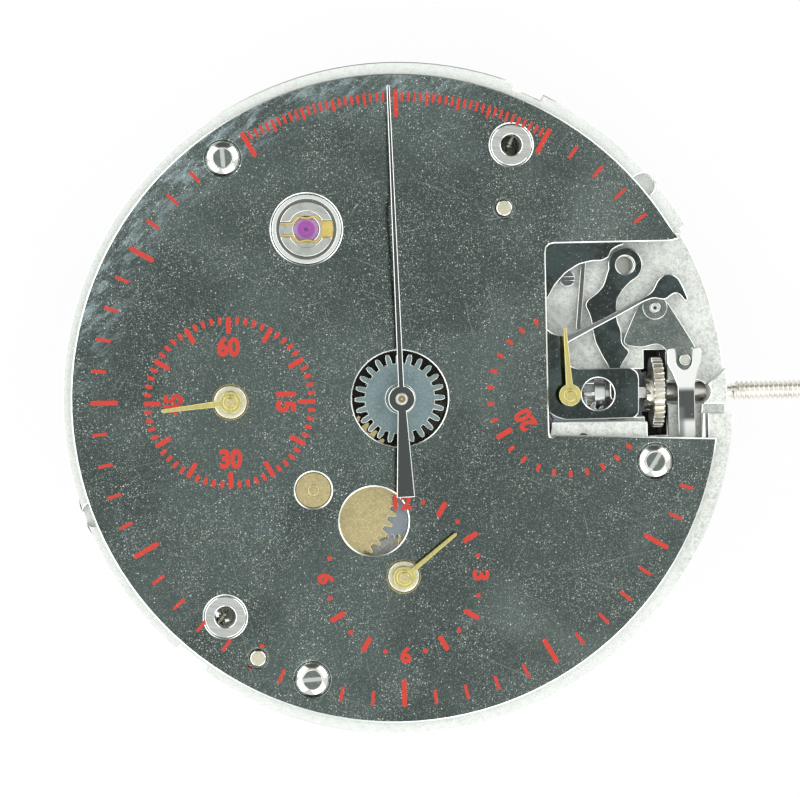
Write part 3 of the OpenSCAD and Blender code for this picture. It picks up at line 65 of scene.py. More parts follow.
PLATE_TOP = 2.35
DIAL_TOP = 2.65
SECONDS_AT = (-7.8, 0.0)
MINUTES_AT = (7.8, 0.0)
HOURS_AT = (0.0, -8.2)
BALANCE_AT = (-4.14, 7.87)
STEM_Z = 0.6
DIAL_SCREWS = ((-7.91, 11.2), (-4.3, -12.85), (11.76, -3.16))
DIAL_FEET = ((5.37, 11.56), (-8.24, -9.86))
STEADY_PINS = ((4.99, 8.67), (-6.78, -11.8))
YOKE_PIVOT = (10.5, 5.93)
LEVER_AXLE = (11.93, 3.93)
LEVER_STUD = (13.27, 1.52)
CALENDAR_HOLE = (-1.31, -5.62)
STEM_TIP = 8.47
THREAD_FROM = 15.6
THREAD_TO = 20.5
FOOT_HOLE_R = 0.48


# Shader nodes and finishes


def feed(tree, value, socket):
    """Gives a socket its link or its number."""
    if isinstance(value, bpy.types.NodeSocket):
        tree.links.new(value, socket)
    else:
        socket.default_value = value


def joined(tree, kind, *values, **settings):
    """Adds a node and feeds its first inputs."""
    node = tree.nodes.new(kind)
    for key, value in settings.items():
        setattr(node, key, value)
    for value, socket in zip(values, node.inputs):
        feed(tree, value, socket)
    return node


def eased(tree, value, low, high, out_low, out_high):
    """Goes smoothly from out_low to out_high while the value goes from low to high."""
    return joined(tree, "ShaderNodeMapRange", value, low, high, out_low, out_high,
                  interpolation_type="SMOOTHSTEP").outputs["Result"]


def scaled(colour, factor):
    """A darker or paler version of a colour."""
    return tuple(min(1, c * factor) for c in colour)


class Finish:
    """A metal or other finish whose patterns are measured in millimetres on the object."""

    def __init__(self, name, colour, roughness, metallic=1.0):
        self.material = bpy.data.materials.new(name)
        self.material.use_nodes = True
        self.material.diffuse_color = (*colour, 1)
        self.tree = self.material.node_tree
        self.shader = self.tree.nodes["Principled BSDF"]
        self.shader.inputs["Base Color"].default_value = (*colour, 1)
        self.shader.inputs["Roughness"].default_value = roughness
        self.shader.inputs["Metallic"].default_value = metallic
        self.place = self.add("ShaderNodeTexCoord").outputs["Object"]
        self.colour = (*colour, 1)
        self.rough = roughness
        self.normal = None

    def add(self, kind, *values, **settings):
        return joined(self.tree, kind, *values, **settings)

    def link(self, value, socket):
        feed(self.tree, value, socket)

    def place_mm(self, stretch=(1, 1, 1), turn=0.0, centre=(0, 0, 0)):
        """Object coordinates in millimetres, moved to a centre, turned and stretched."""
        none = (0, 0, 0)
        moved = self.add("ShaderNodeMapping", self.place, tuple(-c for c in centre), none,
                         (1 / MM,) * 3)
        turned = self.add("ShaderNodeMapping", moved.outputs[0], none, (0, 0, radians(turn)))
        spread = self.add("ShaderNodeMapping", turned.outputs[0], none, none, stretch)
        return spread.outputs[0]

    def noise(self, per_mm, detail=3.0, stretch=(1, 1, 1), turn=0.0, rough=0.55):
        node = self.add("ShaderNodeTexNoise", self.place_mm(stretch, turn))
        node.inputs["Scale"].default_value = per_mm
        node.inputs["Detail"].default_value = detail
        node.inputs["Roughness"].default_value = rough
        return node.outputs["Fac"]

    def specks(self, per_mm, share, size=0.3):
        """Small round specks, a share of the cells of a fine random pattern."""
        cells = self.add("ShaderNodeTexVoronoi", self.place_mm())
        cells.inputs["Scale"].default_value = per_mm
        chance = self.add("ShaderNodeSeparateColor", cells.outputs["Color"]).outputs[0]
        round_spot = self.step(cells.outputs["Distance"], size, size * 0.35)
        chosen = self.step(chance, 1 - share, 1 - share * 0.5)
        return self.times(round_spot, chosen)

    def scratches(self, turn, length, width, share):
        """Long thin lines in one direction."""
        lines = self.noise(1.0, 1, (1 / length, 1 / width, 1), turn)
        return self.step(lines, 0.76 - share, 0.775 - share)

    def along(self, direction):
        """Millimetres from the origin along a direction in the XY plane."""
        ahead = (cos(radians(direction)), sin(radians(direction)), 0)
        return self.add("ShaderNodeVectorMath", self.place_mm(), ahead,
                        operation="DOT_PRODUCT").outputs["Value"]

    def reach(self, centre):
        """Millimetres from an upright axis."""
        return self.add("ShaderNodeVectorMath", self.place_mm((1, 1, 0), centre=(*centre, 0)),
                        operation="LENGTH").outputs["Value"]

    def between(self, value, low, high, soft=0.1):
        return self.times(self.step(value, low - soft, low + soft),
                          self.step(value, high + soft, high - soft))

    def area(self, x_low, x_high, y_low, y_high, soft=0.12):
        """A soft-edged rectangle, seen from above."""
        return self.times(self.between(self.along(0), x_low, x_high, soft),
                          self.between(self.along(90), y_low, y_high, soft))

    def rings(self, per_mm, centre):
        """Fine turned rings about an axis."""
        node = self.add("ShaderNodeTexWave", self.place_mm(centre=(*centre, 0)),
                        wave_type="RINGS", rings_direction="Z")
        node.inputs["Scale"].default_value = per_mm
        node.inputs["Distortion"].default_value = 0.6
        node.inputs["Detail"].default_value = 2
        return node.outputs["Fac"]

    def step(self, value, low, high, out_low=0.0, out_high=1.0):
        return eased(self.tree, value, low, high, out_low, out_high)

    def times(self, a, b):
        return self.add("ShaderNodeMath", a, b, operation="MULTIPLY").outputs[0]

    def tint(self, amount, colour):
        """Mixes a further colour over what is there."""
        node = self.add("ShaderNodeMix", data_type="RGBA")
        self.link(amount, node.inputs[0])
        self.link(self.colour, node.inputs[6])
        self.link((*colour, 1), node.inputs[7])
        self.colour = node.outputs[2]
        return self

    def dull(self, amount, roughness):
        """Moves the roughness towards another one by an amount."""
        node = self.add("ShaderNodeMix", data_type="FLOAT")
        self.link(amount, node.inputs[0])
        self.link(self.rough, node.inputs[2])
        self.link(roughness, node.inputs[3])
        self.rough = node.outputs[0]
        return self

    def relief(self, height, depth, strength=1.0):
        """Raises the surface by a height pattern, depth in millimetres."""
        node = self.add("ShaderNodeBump")
        node.inputs["Strength"].default_value = strength
        node.inputs["Distance"].default_value = depth * MM
        self.link(height, node.inputs["Height"])
        if self.normal is not None:
            self.link(self.normal, node.inputs["Normal"])
        self.normal = node.outputs["Normal"]
        return self

    def done(self):
        self.link(self.colour, self.shader.inputs["Base Color"])
        self.link(self.rough, self.shader.inputs["Roughness"])
        if self.normal is not None:
            self.link(self.normal, self.shader.inputs["Normal"])
        return self.material


def dark_mirror_finish():
    """Mirror-polished plate whose near-black colour is a painted dark reflection, with a painted
    paler reflection towards one side and near the upper-left rim, scattered pale specks,
    hairlines and milky smudges.
    """
    # The near-black base colour is a painted dark reflection of the mirror-polished steel.
    f = Finish("dark_mirror", (0.125, 0.158, 0.148), 0.15)
    # Painted reflection: the plate is paler towards one side.
    f.tint(f.step(f.along(-15), 0, 11, 0.0, 0.6), (0.21, 0.25, 0.235))
    smudge = f.step(f.noise(0.55, 5, rough=0.72), 0.54, 0.78, 0.0, 0.42)
    f.tint(smudge, (0.21, 0.28, 0.31))
    f.tint(f.step(f.noise(0.16, 2), 0.42, 0.6, 0.0, 0.6), (0.06, 0.078, 0.073))
    # Painted pale bluish reflection near the upper-left rim, where the plate is also made
    # rougher.
    upper_left = f.times(f.step(f.reach((0.6, -0.6)), 13.2, 15.2),
                         f.step(f.along(125), 7, 12))
    haze_painted_reflection = f.times(upper_left,
                   f.step(f.noise(1.6, 8, (0.5, 1.6, 1), -40, 0.8), 0.45, 0.62))
    f.tint(f.times(haze_painted_reflection, 0.6), (0.5, 0.62, 0.66))
    f.tint(f.step(f.noise(6, 3, rough=0.7), 0.45, 0.7, 0.0, 0.3), (0.07, 0.09, 0.087))
    patches = f.step(f.noise(0.5, 4), 0.35, 0.65, 0.25, 1.0)
    f.tint(f.times(f.step(f.noise(13, 2, rough=0.8), 0.6, 0.68), patches), (0.4, 0.44, 0.41))
    f.tint(f.times(f.step(f.noise(19, 2, rough=0.85), 0.62, 0.68), 0.8), (0.7, 0.72, 0.64))
    f.tint(f.times(f.specks(9, 0.34, 0.33), patches), (1.0, 1.0, 0.9))
    f.tint(f.times(f.specks(15, 0.5, 0.38), patches), (0.8, 0.82, 0.72))
    f.tint(f.specks(5.5, 0.3, 0.22), (1.0, 1.0, 0.95))
    for turn, length, width in ((24, 5, 0.05), (-57, 4, 0.045), (78, 5, 0.05), (-12, 4, 0.05)):
        f.tint(f.times(f.scratches(turn, length, width, 0.01), 0.4), (0.5, 0.56, 0.56))
    f.dull(smudge, 0.4)
    f.dull(haze_painted_reflection, 0.36)
    f.relief(f.noise(16, 2), 0.002, 0.3)
    return f.done()


def blasted_finish(name="blasted_nickel", colour=(0.84, 0.86, 0.81)):
    """Fine blasted nickel, darker in its grain and where it is worn."""
    f = Finish(name, colour, 0.45, 0.6)
    grain = f.noise(12, 4)
    f.tint(f.step(grain, 0.42, 0.66, 0.0, 0.55), scaled(colour, 0.58))
    wear = f.step(f.noise(3.4, 6, rough=0.8), 0.47, 0.62, 0.0, 0.6)
    f.tint(wear, scaled(colour, 0.52))
    f.tint(f.step(f.noise(0.5, 4), 0.5, 0.75, 0.0, 0.3), (0.68, 0.69, 0.62))
    f.tint(f.step(f.noise(1.1, 2, (0.15, 2.2, 1), 48), 0.62, 0.66, 0.0, 0.25), (0.45, 0.47, 0.45))
    f.tint(f.times(f.specks(6, 0.35, 0.26), 0.5), (0.92, 0.93, 0.9))
    f.relief(grain, 0.016, 0.7)
    return f


def plate_finish():
    """The main plate: blasted, with a painted highlight and painted shade for the milled step
    that crosses the keyless floor, painted shade round the centre and in the pinion slot, and
    painted light on the yoke post.
    """
    f = blasted_finish("plate_nickel")
    line_direction, line_at = 40.8, 7.92
    across = f.along(line_direction)
    # Painted highlight along the milled step.
    step_painted_highlight = f.times(f.between(across, line_at - 0.1, line_at + 0.1, 0.05),
                        f.area(6.9, 8.95, 1.7, 4.2))
    f.tint(f.times(step_painted_highlight, 0.8), (0.95, 0.95, 0.9))
    # Painted shade beside the milled step.
    shade = f.times(f.step(across, line_at - 0.7, line_at - 0.1),
                    f.area(6.4, 8.8, 1.5, 4.2, 0.3))
    f.tint(f.times(shade, 0.45), (0.4, 0.42, 0.4))
    # Painted shade on the plate round the centre, under the hour wheel.
    centre_painted_shade = f.step(f.reach((0, 0)), 2.5, 2.3)
    f.tint(f.times(centre_painted_shade, 0.93), (0.03, 0.033, 0.026))
    # Painted shade in the slot of the sliding pinion.
    slot_painted_shade = f.area(11.44, 12.56, -2.0, 2.05, 0.03)
    f.tint(f.times(slot_painted_shade, 0.93), (0.05, 0.045, 0.032))
    # Painted light on the top of the yoke post, which sits deep and in shade.
    yoke_post_painted_light = f.step(f.reach(YOKE_PIVOT), 0.5, 0.42)
    f.tint(f.times(yoke_post_painted_light, 0.9), (0.98, 0.97, 0.93))
    rim = f.times(f.step(f.reach((0, 0)), 14.45, 14.7), f.step(f.along(0), 13.2, 12.4))
    f.tint(f.times(rim, 0.6), (0.87, 0.89, 0.85))
    return f.done()


def black_polish_finish():
    """Black polish that carries soft pale reflections and a little dust."""
    f = Finish("black_polish", (0.05, 0.062, 0.058), 0.09)
    f.tint(f.step(f.noise(0.6, 4), 0.45, 0.62, 0.0, 0.6), (0.11, 0.145, 0.145))
    f.tint(f.step(f.noise(5, 4, rough=0.75), 0.5, 0.68, 0.0, 0.5), (0.15, 0.18, 0.175))
    f.tint(f.specks(9, 0.25, 0.26), (0.5, 0.55, 0.52))
    f.tint(f.times(f.scratches(-35, 9, 0.05, 0.03), 0.5), (0.34, 0.37, 0.37))
    f.dull(f.step(f.noise(0.8, 4), 0.5, 0.8, 0.0, 0.3), 0.3)
    return f


def cover_finish():
    """The cover is black polished, with a painted pale reflection along its jumper arm up to the
    black head.
    """
    f = black_polish_finish()
    # Painted pale reflection along the jumper arm.
    arm = f.area(7.5, 11.35, 2.2, 4.4, 0.25)
    f.tint(f.times(arm, 0.75), (0.3, 0.32, 0.31))
    return f.done()


def fork_finish():
    """Pale steel with a black band across the shaft, where it mirrors something dark."""
    f = Finish("fork_steel", (0.86, 0.86, 0.83), 0.36, 0.6)
    f.tint(f.times(f.area(12.8, 13.9, -1.3, 0.15, 0.15), 0.94), (0.03, 0.038, 0.036))
    # Painted dark reflection on the lower left of the shaft.
    f.tint(f.times(f.area(12.8, 13.2, -4, -0.7, 0.12), 0.8), (0.17, 0.19, 0.19))
    f.tint(f.times(f.specks(5, 0.3, 0.24), 0.3), (0.6, 0.62, 0.6))
    return f.done()


def lever_finish():
    """The setting lever: mottled grey-green, streaked along its right edge, studs bright."""
    f = Finish("lever_steel", (0.16, 0.185, 0.175), 0.14)
    f.tint(f.step(f.noise(1.2, 5, rough=0.7), 0.4, 0.65, 0.0, 0.8), (0.3, 0.33, 0.31))
    f.tint(f.times(f.step(f.noise(9, 3, rough=0.8), 0.5, 0.66), 0.6), (0.45, 0.48, 0.44))
    streak = f.times(f.step(f.along(31.5), 12.95, 13.35),
                     f.step(f.noise(5, 3, (0.12, 5, 1), -59), 0.45, 0.6))
    f.tint(f.times(streak, 0.7), (0.6, 0.62, 0.58))
    f.tint(f.specks(6, 0.4, 0.28), (0.5, 0.54, 0.5))
    f.tint(f.step(f.reach(LEVER_STUD), 0.24, 0.2), (0.82, 0.8, 0.72))
    f.tint(f.step(f.reach(LEVER_AXLE), 0.24, 0.2), (0.85, 0.84, 0.78))
    f.tint(f.step(f.reach(LEVER_AXLE), 0.1, 0.06), (0.07, 0.07, 0.06))
    return f.done()


def bright_edge_finish():
    f = Finish("bright_edge", (0.86, 0.87, 0.84), 0.28)
    f.tint(f.step(f.noise(7, 3), 0.55, 0.8, 0.0, 0.5), (0.52, 0.53, 0.49))
    return f.done()


def polished_finish(name, colour, roughness=0.13):
    f = Finish(name, colour, roughness)
    dim = scaled(colour, 0.7)
    f.tint(f.step(f.noise(6, 4), 0.5, 0.8, 0.0, 0.35), dim)
    f.tint(f.times(f.specks(6, 0.3, 0.25), 0.5), tuple(min(1, c * 1.8 + 0.1) for c in colour))
    f.dull(f.step(f.noise(3, 3), 0.4, 0.8, 0.0, 0.4), roughness + 0.25)
    return f.done()


def satin_finish(name, colour, roughness=0.36):
    """A soft mottled satin, without any direction."""
    f = Finish(name, colour, roughness)
    f.tint(f.step(f.noise(1.6, 4), 0.42, 0.68, 0.0, 0.5), scaled(colour, 0.66))
    f.tint(f.step(f.noise(10, 3, rough=0.75), 0.46, 0.62, 0.0, 0.5),
           scaled(colour, 1.45))
    f.tint(f.times(f.specks(9, 0.5, 0.3), 0.6), scaled(colour, 2))
    f.relief(f.noise(9, 3), 0.004, 0.4)
    return f.done()


def grained_finish(name, colour, turn, roughness=0.3):
    """Straight graining drawn along one direction."""
    f = Finish(name, colour, roughness)
    streak = f.noise(4, 3, (0.12, 5, 1), turn)
    dark = scaled(colour, 0.62)
    pale = scaled(colour, 1.3)
    f.tint(f.step(streak, 0.35, 0.6, 0.5, 0.0), dark)
    f.tint(f.step(streak, 0.55, 0.75, 0.0, 0.5), pale)
    f.tint(f.times(f.specks(6, 0.35, 0.26), 0.5), pale)
    f.relief(streak, 0.006, 0.5)
    return f.done()


def turned_finish(name, colour, centre, roughness=0.26):
    """Fine rings of the lathe about an axis."""
    f = Finish(name, colour, roughness)
    dark = scaled(colour, 0.72)
    f.tint(f.step(f.rings(6, centre), 0.2, 0.9, 0.0, 0.35), dark)
    f.tint(f.step(f.noise(7, 3), 0.5, 0.75, 0.0, 0.4), dark)
    f.relief(f.rings(9, centre), 0.004, 0.4)
    return f.done()


def screw_head_finish():
    """Flat grey-green polished heads with a little graining."""
    f = Finish("screw_head", (0.2, 0.23, 0.21), 0.2)
    f.tint(f.step(f.noise(5, 3, (0.3, 3, 1), 40), 0.45, 0.7, 0.0, 0.5), (0.36, 0.39, 0.36))
    f.tint(f.specks(6, 0.4, 0.27), (0.55, 0.58, 0.54))
    return f.done()


def setting_finish():
    """The turned silver core of the shock setting, with painted shade in the groove inside its
    rim.
    """
    f = Finish("turned_setting", (0.66, 0.67, 0.63), 0.24)
    f.tint(f.step(f.rings(6, BALANCE_AT), 0.2, 0.9, 0.0, 0.35), (0.45, 0.46, 0.43))
    f.tint(f.step(f.noise(3, 4), 0.45, 0.65, 0.0, 0.5), (0.42, 0.43, 0.4))
    # Painted shade: a dark ring in the groove inside the rim.
    f.tint(f.times(f.between(f.reach(BALANCE_AT), 1.24, 1.38, 0.03), 0.8), (0.13, 0.13, 0.11))
    return f.done()


def pivot_finish():
    """The end of the central pivot: a bright ring about a browned middle."""
    f = Finish("pivot_steel", (0.9, 0.88, 0.82), 0.2)
    f.tint(f.step(f.reach((0, 0)), 0.19, 0.15), (0.36, 0.27, 0.16))
    f.tint(f.step(f.reach((0, 0)), 0.06, 0.03), (0.8, 0.7, 0.5))
    f.tint(f.times(f.specks(9, 0.4, 0.3), 0.5), (0.5, 0.45, 0.35))
    return f.done()


def jewel_finish(name, rim, core, centre, core_r, roughness=0.06):
    """A pierced jewel: its darker core shows inside the paler rim."""
    f = Finish(name, rim, roughness, 0.0)
    f.shader.inputs["Transmission Weight"].default_value = 0.25
    f.shader.inputs["IOR"].default_value = 1.76
    f.shader.inputs["Coat Weight"].default_value = 0.6
    away = f.reach(centre)
    f.tint(f.step(away, core_r + 0.03, core_r - 0.03), core)
    f.tint(f.step(away, 0.12, 0.07), scaled(core, 0.25))
    f.tint(f.step(f.noise(3.5, 2), 0.45, 0.7, 0.0, 0.3), scaled(rim, 0.7))
    return f.done()


def print_finish():
    f = Finish("red_printing", (0.54, 0.034, 0.018), 0.6, 0.0)
    f.tint(f.step(f.noise(9, 3), 0.5, 0.75, 0.0, 0.45), (0.36, 0.024, 0.015))
    f.tint(f.times(f.specks(7, 0.3, 0.26), 0.5), (0.8, 0.42, 0.36))
    f.relief(f.noise(14, 3), 0.004, 0.5)
    return f.done()


BRASS = (0.8, 0.68, 0.38)
GOLD = (0.74, 0.65, 0.26)

dark_mirror = dark_mirror_finish()
blasted_nickel = blasted_finish(colour=(0.7, 0.71, 0.67)).done()
plate_nickel = plate_finish()
black_polish = black_polish_finish().done()
cover_polish = cover_finish()
fork_steel = fork_finish()
lever_steel = lever_finish()
bright_edge = bright_edge_finish()
red_print = print_finish()
screw_head = screw_head_finish()
polished_steel = polished_finish("polished_steel", (0.76, 0.77, 0.75))
cup_steel = polished_finish("cup_steel", (0.84, 0.82, 0.76), 0.1)
dark_steel = polished_finish("dark_polished_steel", (0.16, 0.175, 0.18), 0.1)
hub_steel = polished_finish("hub_steel", (0.1, 0.11, 0.105), 0.14)
wheel_steel = turned_finish("wheel_steel", (0.36, 0.4, 0.43), (0, 0))
teal_steel = satin_finish("teal_satin", (0.26, 0.34, 0.35))
cream_steel = satin_finish("cream_steel", (0.88, 0.83, 0.72), 0.34)
pale_steel = grained_finish("pale_steel", (0.72, 0.72, 0.68), 10, 0.25)
turned_setting = setting_finish()
# Near-black satin; on the minute wheel and the block under the pinion slot it is painted shade.
near_black_satin = satin_finish("near_black_satin", (0.07, 0.072, 0.062))
soft_steel = satin_finish("soft_steel", (0.82, 0.83, 0.8), 0.3)
pivot_steel = pivot_finish()
pale_brass = satin_finish("pale_brass", (0.8, 0.74, 0.56), 0.28)
satin_brass = grained_finish("satin_brass", BRASS, 30)
wheel_brass = satin_finish("wheel_brass", (0.6, 0.5, 0.27), 0.3)
gold_wheel = turned_finish("gilt_wheels", GOLD, (0, 0))
gold_hands = grained_finish("gold_hands", GOLD, 80, 0.32)
lyre_gold = satin_finish("lyre_gold", (0.95, 0.68, 0.22), 0.24)
lyre_edge = satin_finish("lyre_edge", (0.42, 0.24, 0.05), 0.25)
blue_steel = polished_finish("blue_steel", (0.06, 0.1, 0.33), 0.15)
stem_steel = satin_finish("stem_steel", (0.93, 0.89, 0.82), 0.3)
jewels = jewel_finish("jewels", (0.46, 0.25, 0.52), (0.38, 0.04, 0.42), BALANCE_AT, 0.4)


# Making pieces


CREASE = radians(32)
FACE, EDGE, THIRD, FOURTH = range(4)


def settle(name, bm, materials, body, slot, *replaced):
    """Turns a bmesh in millimetres into a piece that rides on a body."""
    mesh = bpy.data.meshes.new(name)
    bm.transform(Matrix.Scale(MM, 4))
    for face in bm.faces:
        face.smooth = True
    for edge in bm.edges:
        sides = edge.link_faces
        edge.smooth = (len(sides) == 2 and sides[0].material_index == sides[1].material_index
                       and edge.calc_face_angle(0) < CREASE)
    bm.to_mesh(mesh)
    bm.free()
    for material in materials:
        mesh.materials.append(material)
    piece = bpy.data.objects.new(name, mesh)
    bpy.context.collection.objects.link(piece)
    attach(piece, body)
    if replaced:
        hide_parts(*replaced)
    return piece


def shift(x, y, z=0.0):
    return Matrix.Translation((x, y, z))


def spin_turn(angle, axis="Z"):
    return Matrix.Rotation(radians(angle), 4, axis)


def lathe(bm, profile, place, steps=32):
    """A turned form from (radius, height) corners, about Z before it is placed."""
    before = set(bm.faces)
    verts = [bm.verts.new((r, 0, z)) for r, z in profile]
    edges = [bm.edges.new(pair) for pair in zip(verts, verts[1:])]
    bmesh.ops.spin(bm, geom=verts + edges, cent=(0, 0, 0), axis=(0, 0, 1),
                   angle=2 * pi, steps=steps, use_merge=True)
    own = list({v for face in bm.faces if face not in before for v in face.verts})
    bmesh.ops.remove_doubles(bm, verts=own, dist=1e-5)
    faces = [face for face in bm.faces if face not in before]
    bmesh.ops.recalc_face_normals(bm, faces=faces)
    bmesh.ops.transform(bm, matrix=place, verts=list({v for f in faces for v in f.verts}))


def block(bm, size, place):
    return bmesh.ops.create_cube(
        bm, size=1.0, matrix=place @ Matrix.Diagonal((*size, 1)))["verts"]


def nearest(point, places):
    """How far a point is, seen from above, from the nearest of some places."""
    return min(hypot(point.x - x, point.y - y) for x, y in places)


def cad_copy(node):
    """A node's own mesh in millimetres, merged, with its flat faces made whole."""
    bm = bmesh.new()
    bm.from_mesh(frame["nodes"][node].data)
    bm.transform(Matrix.Scale(1 / MM, 4))
    bmesh.ops.remove_doubles(bm, verts=bm.verts, dist=2e-4)
    bmesh.ops.dissolve_limit(bm, angle_limit=radians(0.5), verts=bm.verts, edges=bm.edges)
    for face in bm.faces:
        face.material_index = FACE
    return bm


def break_edges(bm, width):
    """Rounds every outer sharp edge off, and marks the new faces as the second finish."""
    bmesh.ops.triangulate(bm, faces=bm.faces, quad_method="BEAUTY", ngon_method="BEAUTY")
    sharp = [e for e in bm.edges if len(e.link_faces) == 2 and e.is_convex
             and e.calc_face_angle(0) > radians(38)]
    cut = bmesh.ops.bevel(bm, geom=sharp, offset=width, offset_type="OFFSET",
                          segments=2, profile=0.5, affect="EDGES", material=-1,
                          loop_slide=False, clamp_overlap=False)
    for face in cut["faces"]:
        face.material_index = EDGE


def machined(node, face, edge, bevel, pick=None, more=()):
    """A copy of a CAD node with its sharp edges broken, which takes its place."""
    bm = cad_copy(node)
    break_edges(bm, bevel)
    if pick:
        for each in bm.faces:
            each.material_index = pick(each.calc_center_median(), each.normal,
                                       each.material_index)
    return settle(node + "_finished", bm, [face, edge, *more], NODE_BODY[node],
                  NODE_SLOT[node], node)


# Printing on the dark plate

PRINT_THICK = 0.012
PRINT_LEVEL = DIAL_TOP + PRINT_THICK / 2
PRINT_TURN = -0.35
NUMERAL_GROWTH = 0.012
NUMERAL_BOLDNESS = 0.035
TICK_CLEARANCE = 1.95
DOT_CLEARANCE = 1.7
MARK_UNDER_SCREW = 33
MARK_UNDER_PIN = 35


def tick(bm, centre, angle, r_in, r_out, width):
    """One printed bar, its angle counted anticlockwise from +X."""
    place = (shift(*centre, PRINT_LEVEL) @ spin_turn(angle + PRINT_TURN)
             @ shift((r_in + r_out) / 2, 0))
    if nearest(place.translation, [CALENDAR_HOLE]) < TICK_CLEARANCE:
        return
    verts = block(bm, (r_out - r_in, width, PRINT_THICK), place)
    upright = [e for e in {e for v in verts for e in v.link_edges}
               if abs(e.verts[0].co.z - e.verts[1].co.z) > PRINT_THICK / 2]
    bmesh.ops.bevel(bm, geom=upright, offset=width * 0.42, offset_type="OFFSET", segments=3,
                    profile=0.5, affect="EDGES", material=-1, clamp_overlap=False)


def dot(bm, centre, angle, r, radius):
    """One printed dot, its angle counted as that of a bar."""
    a = radians(angle + PRINT_TURN)
    place = shift(centre[0] + r * cos(a), centre[1] + r * sin(a), PRINT_LEVEL)
    if nearest(place.translation, [CALENDAR_HOLE]) >= DOT_CLEARANCE:
        bmesh.ops.create_cone(bm, cap_ends=True, segments=20, radius1=radius, radius2=radius,
                              depth=PRINT_THICK, matrix=place)


def numeral(bm, text, centre, height, width, turn=0.0):
    """A printed number, drawn upright, then sized, turned and placed."""
    curve = bpy.data.curves.new("numeral_" + text, "FONT")
    curve.body = text
    curve.align_x = "CENTER"
    curve.align_y = "CENTER"
    curve.extrude = 0.5
    curve.offset = NUMERAL_GROWTH
    curve.bevel_depth = NUMERAL_BOLDNESS
    curve.bevel_resolution = 0
    drawn = bpy.data.objects.new("numeral", curve)
    bpy.context.collection.objects.link(drawn)
    depsgraph = bpy.context.evaluated_depsgraph_get()
    mesh = bpy.data.meshes.new_from_object(drawn.evaluated_get(depsgraph))
    xs = [v.co.x for v in mesh.vertices]
    ys = [v.co.y for v in mesh.vertices]
    middle = shift(-(min(xs) + max(xs)) / 2, -(min(ys) + max(ys)) / 2)
    size = Matrix.Diagonal((width / (max(xs) - min(xs)), height / (max(ys) - min(ys)),
                            PRINT_THICK, 1))
    mesh.transform(shift(*centre, PRINT_LEVEL) @ spin_turn(turn + PRINT_TURN) @ size @ middle)
    bm.from_mesh(mesh)
    bpy.data.objects.remove(drawn)
    bpy.data.meshes.remove(mesh)


def minute_track():
    """The red track round the rim: fine fifths about 12, and nothing at the window.

    Of the mark under the steady pin only the two ends show.
    """
    bm = bmesh.new()
    rim_r, long_r, short_r = 14.21, 12.93, 13.52
    fine_rim_r, fine_long_r, fine_short_r = 14.1, 13.5, 13.66
    pin_from_r, pin_to_r = 13.12, 14.08
    for k in range(60):
        angle = 90 - 6 * k
        at_window = 10 <= k <= 17
        if k % 5 == 0:
            if not at_window and k != MARK_UNDER_PIN:
                tick(bm, (0, 0), angle, long_r, rim_r, 0.22)
        elif 5 < k < 54 and not at_window and k != MARK_UNDER_SCREW:
            tick(bm, (0, 0), angle, short_r, rim_r, 0.15)
    for i in range(-25, 26):
        if i % 25:
            long_one = i % 5 == 0
            tick(bm, (0, 0), 90 + 1.2 * i, fine_long_r if long_one else fine_short_r,
                 fine_rim_r, 0.138 if long_one else 0.12)
    for r_in, r_out in ((long_r, pin_from_r), (pin_to_r, rim_r)):
        tick(bm, (0, 0), 90 - 6 * MARK_UNDER_PIN, r_in, r_out, 0.22)
    return settle("minute_track", bm, [red_print], "plate", "black_mirror")


def running_seconds_scale():
    bm = bmesh.new()
    centre = (SECONDS_AT[0] - 0.03, -0.02)
    for k in range(60):
        major = k % 5 == 0
        tick(bm, centre, 90 - 6 * k, 3.15 if major else 3.6, 3.95, 0.22 if major else 0.17)
    for text, x, y, width, turn in (("60", 0, 2.55, 1.05, 0), ("30", 0, -2.6, 1.05, 0),
                                    ("15", 2.58, -0.05, 0.95, -90),
                                    ("45", -2.58, -0.05, 0.95, 90)):
        numeral(bm, text, (centre[0] + x, y), 0.92, width, turn)
    return settle("running_seconds_scale", bm, [red_print], "plate", "black_mirror")


def hour_counter_scale():
    bm = bmesh.new()
    centre = (HOURS_AT[0] + 0.02, HOURS_AT[1] - 0.02)
    for k in range(12):
        angle = 90 - 30 * k
        if k % 3:
            tick(bm, centre, angle, 3.17, 3.95, 0.24)
        dot(bm, centre, angle - 15, 3.54, 0.11)
    for text, x, y, height, width, turn in (("3", 3.55, 0, 0.78, 0.5, -90),
                                            ("6", 0, -3.6, 0.78, 0.5, 0),
                                            ("9", -3.6, 0, 0.78, 0.5, 90),
                                            ("12", 0, 3.45, 0.72, 0.85, 0)):
        numeral(bm, text, (centre[0] + x, centre[1] + y), height, width, turn)
    return settle("hour_counter_scale", bm, [red_print], "plate", "black_mirror")


def minute_counter_scale():
    """Only the left part of this dial is on the plate, because the window takes the rest."""
    bm = bmesh.new()
    centre = (MINUTES_AT[0] + 0.03, 0.02)
    window_left, window_bottom, gap = 6.87, -2.1, 0.2
    for k in range(30):
        angle = radians(90 - 12 * k)
        x = centre[0] + 3.5 * cos(angle)
        y = centre[1] + 3.5 * sin(angle)
        if k == 20:
            tick(bm, centre, degrees(angle), 3.1, 3.93, 0.24)
        elif x <= window_left - gap or y <= window_bottom - gap:
            tick(bm, centre, degrees(angle), 3.5, 3.84, 0.17)
    numeral(bm, "20", (5.76, -1.1), 0.85, 0.95, 120)
    return settle("minute_counter_scale", bm, [red_print], "plate", "black_mirror")


minute_track()
running_seconds_scale()
hour_counter_scale()
minute_counter_scale()


# Every CAD node in its finish: face, edge and width of the broken edge

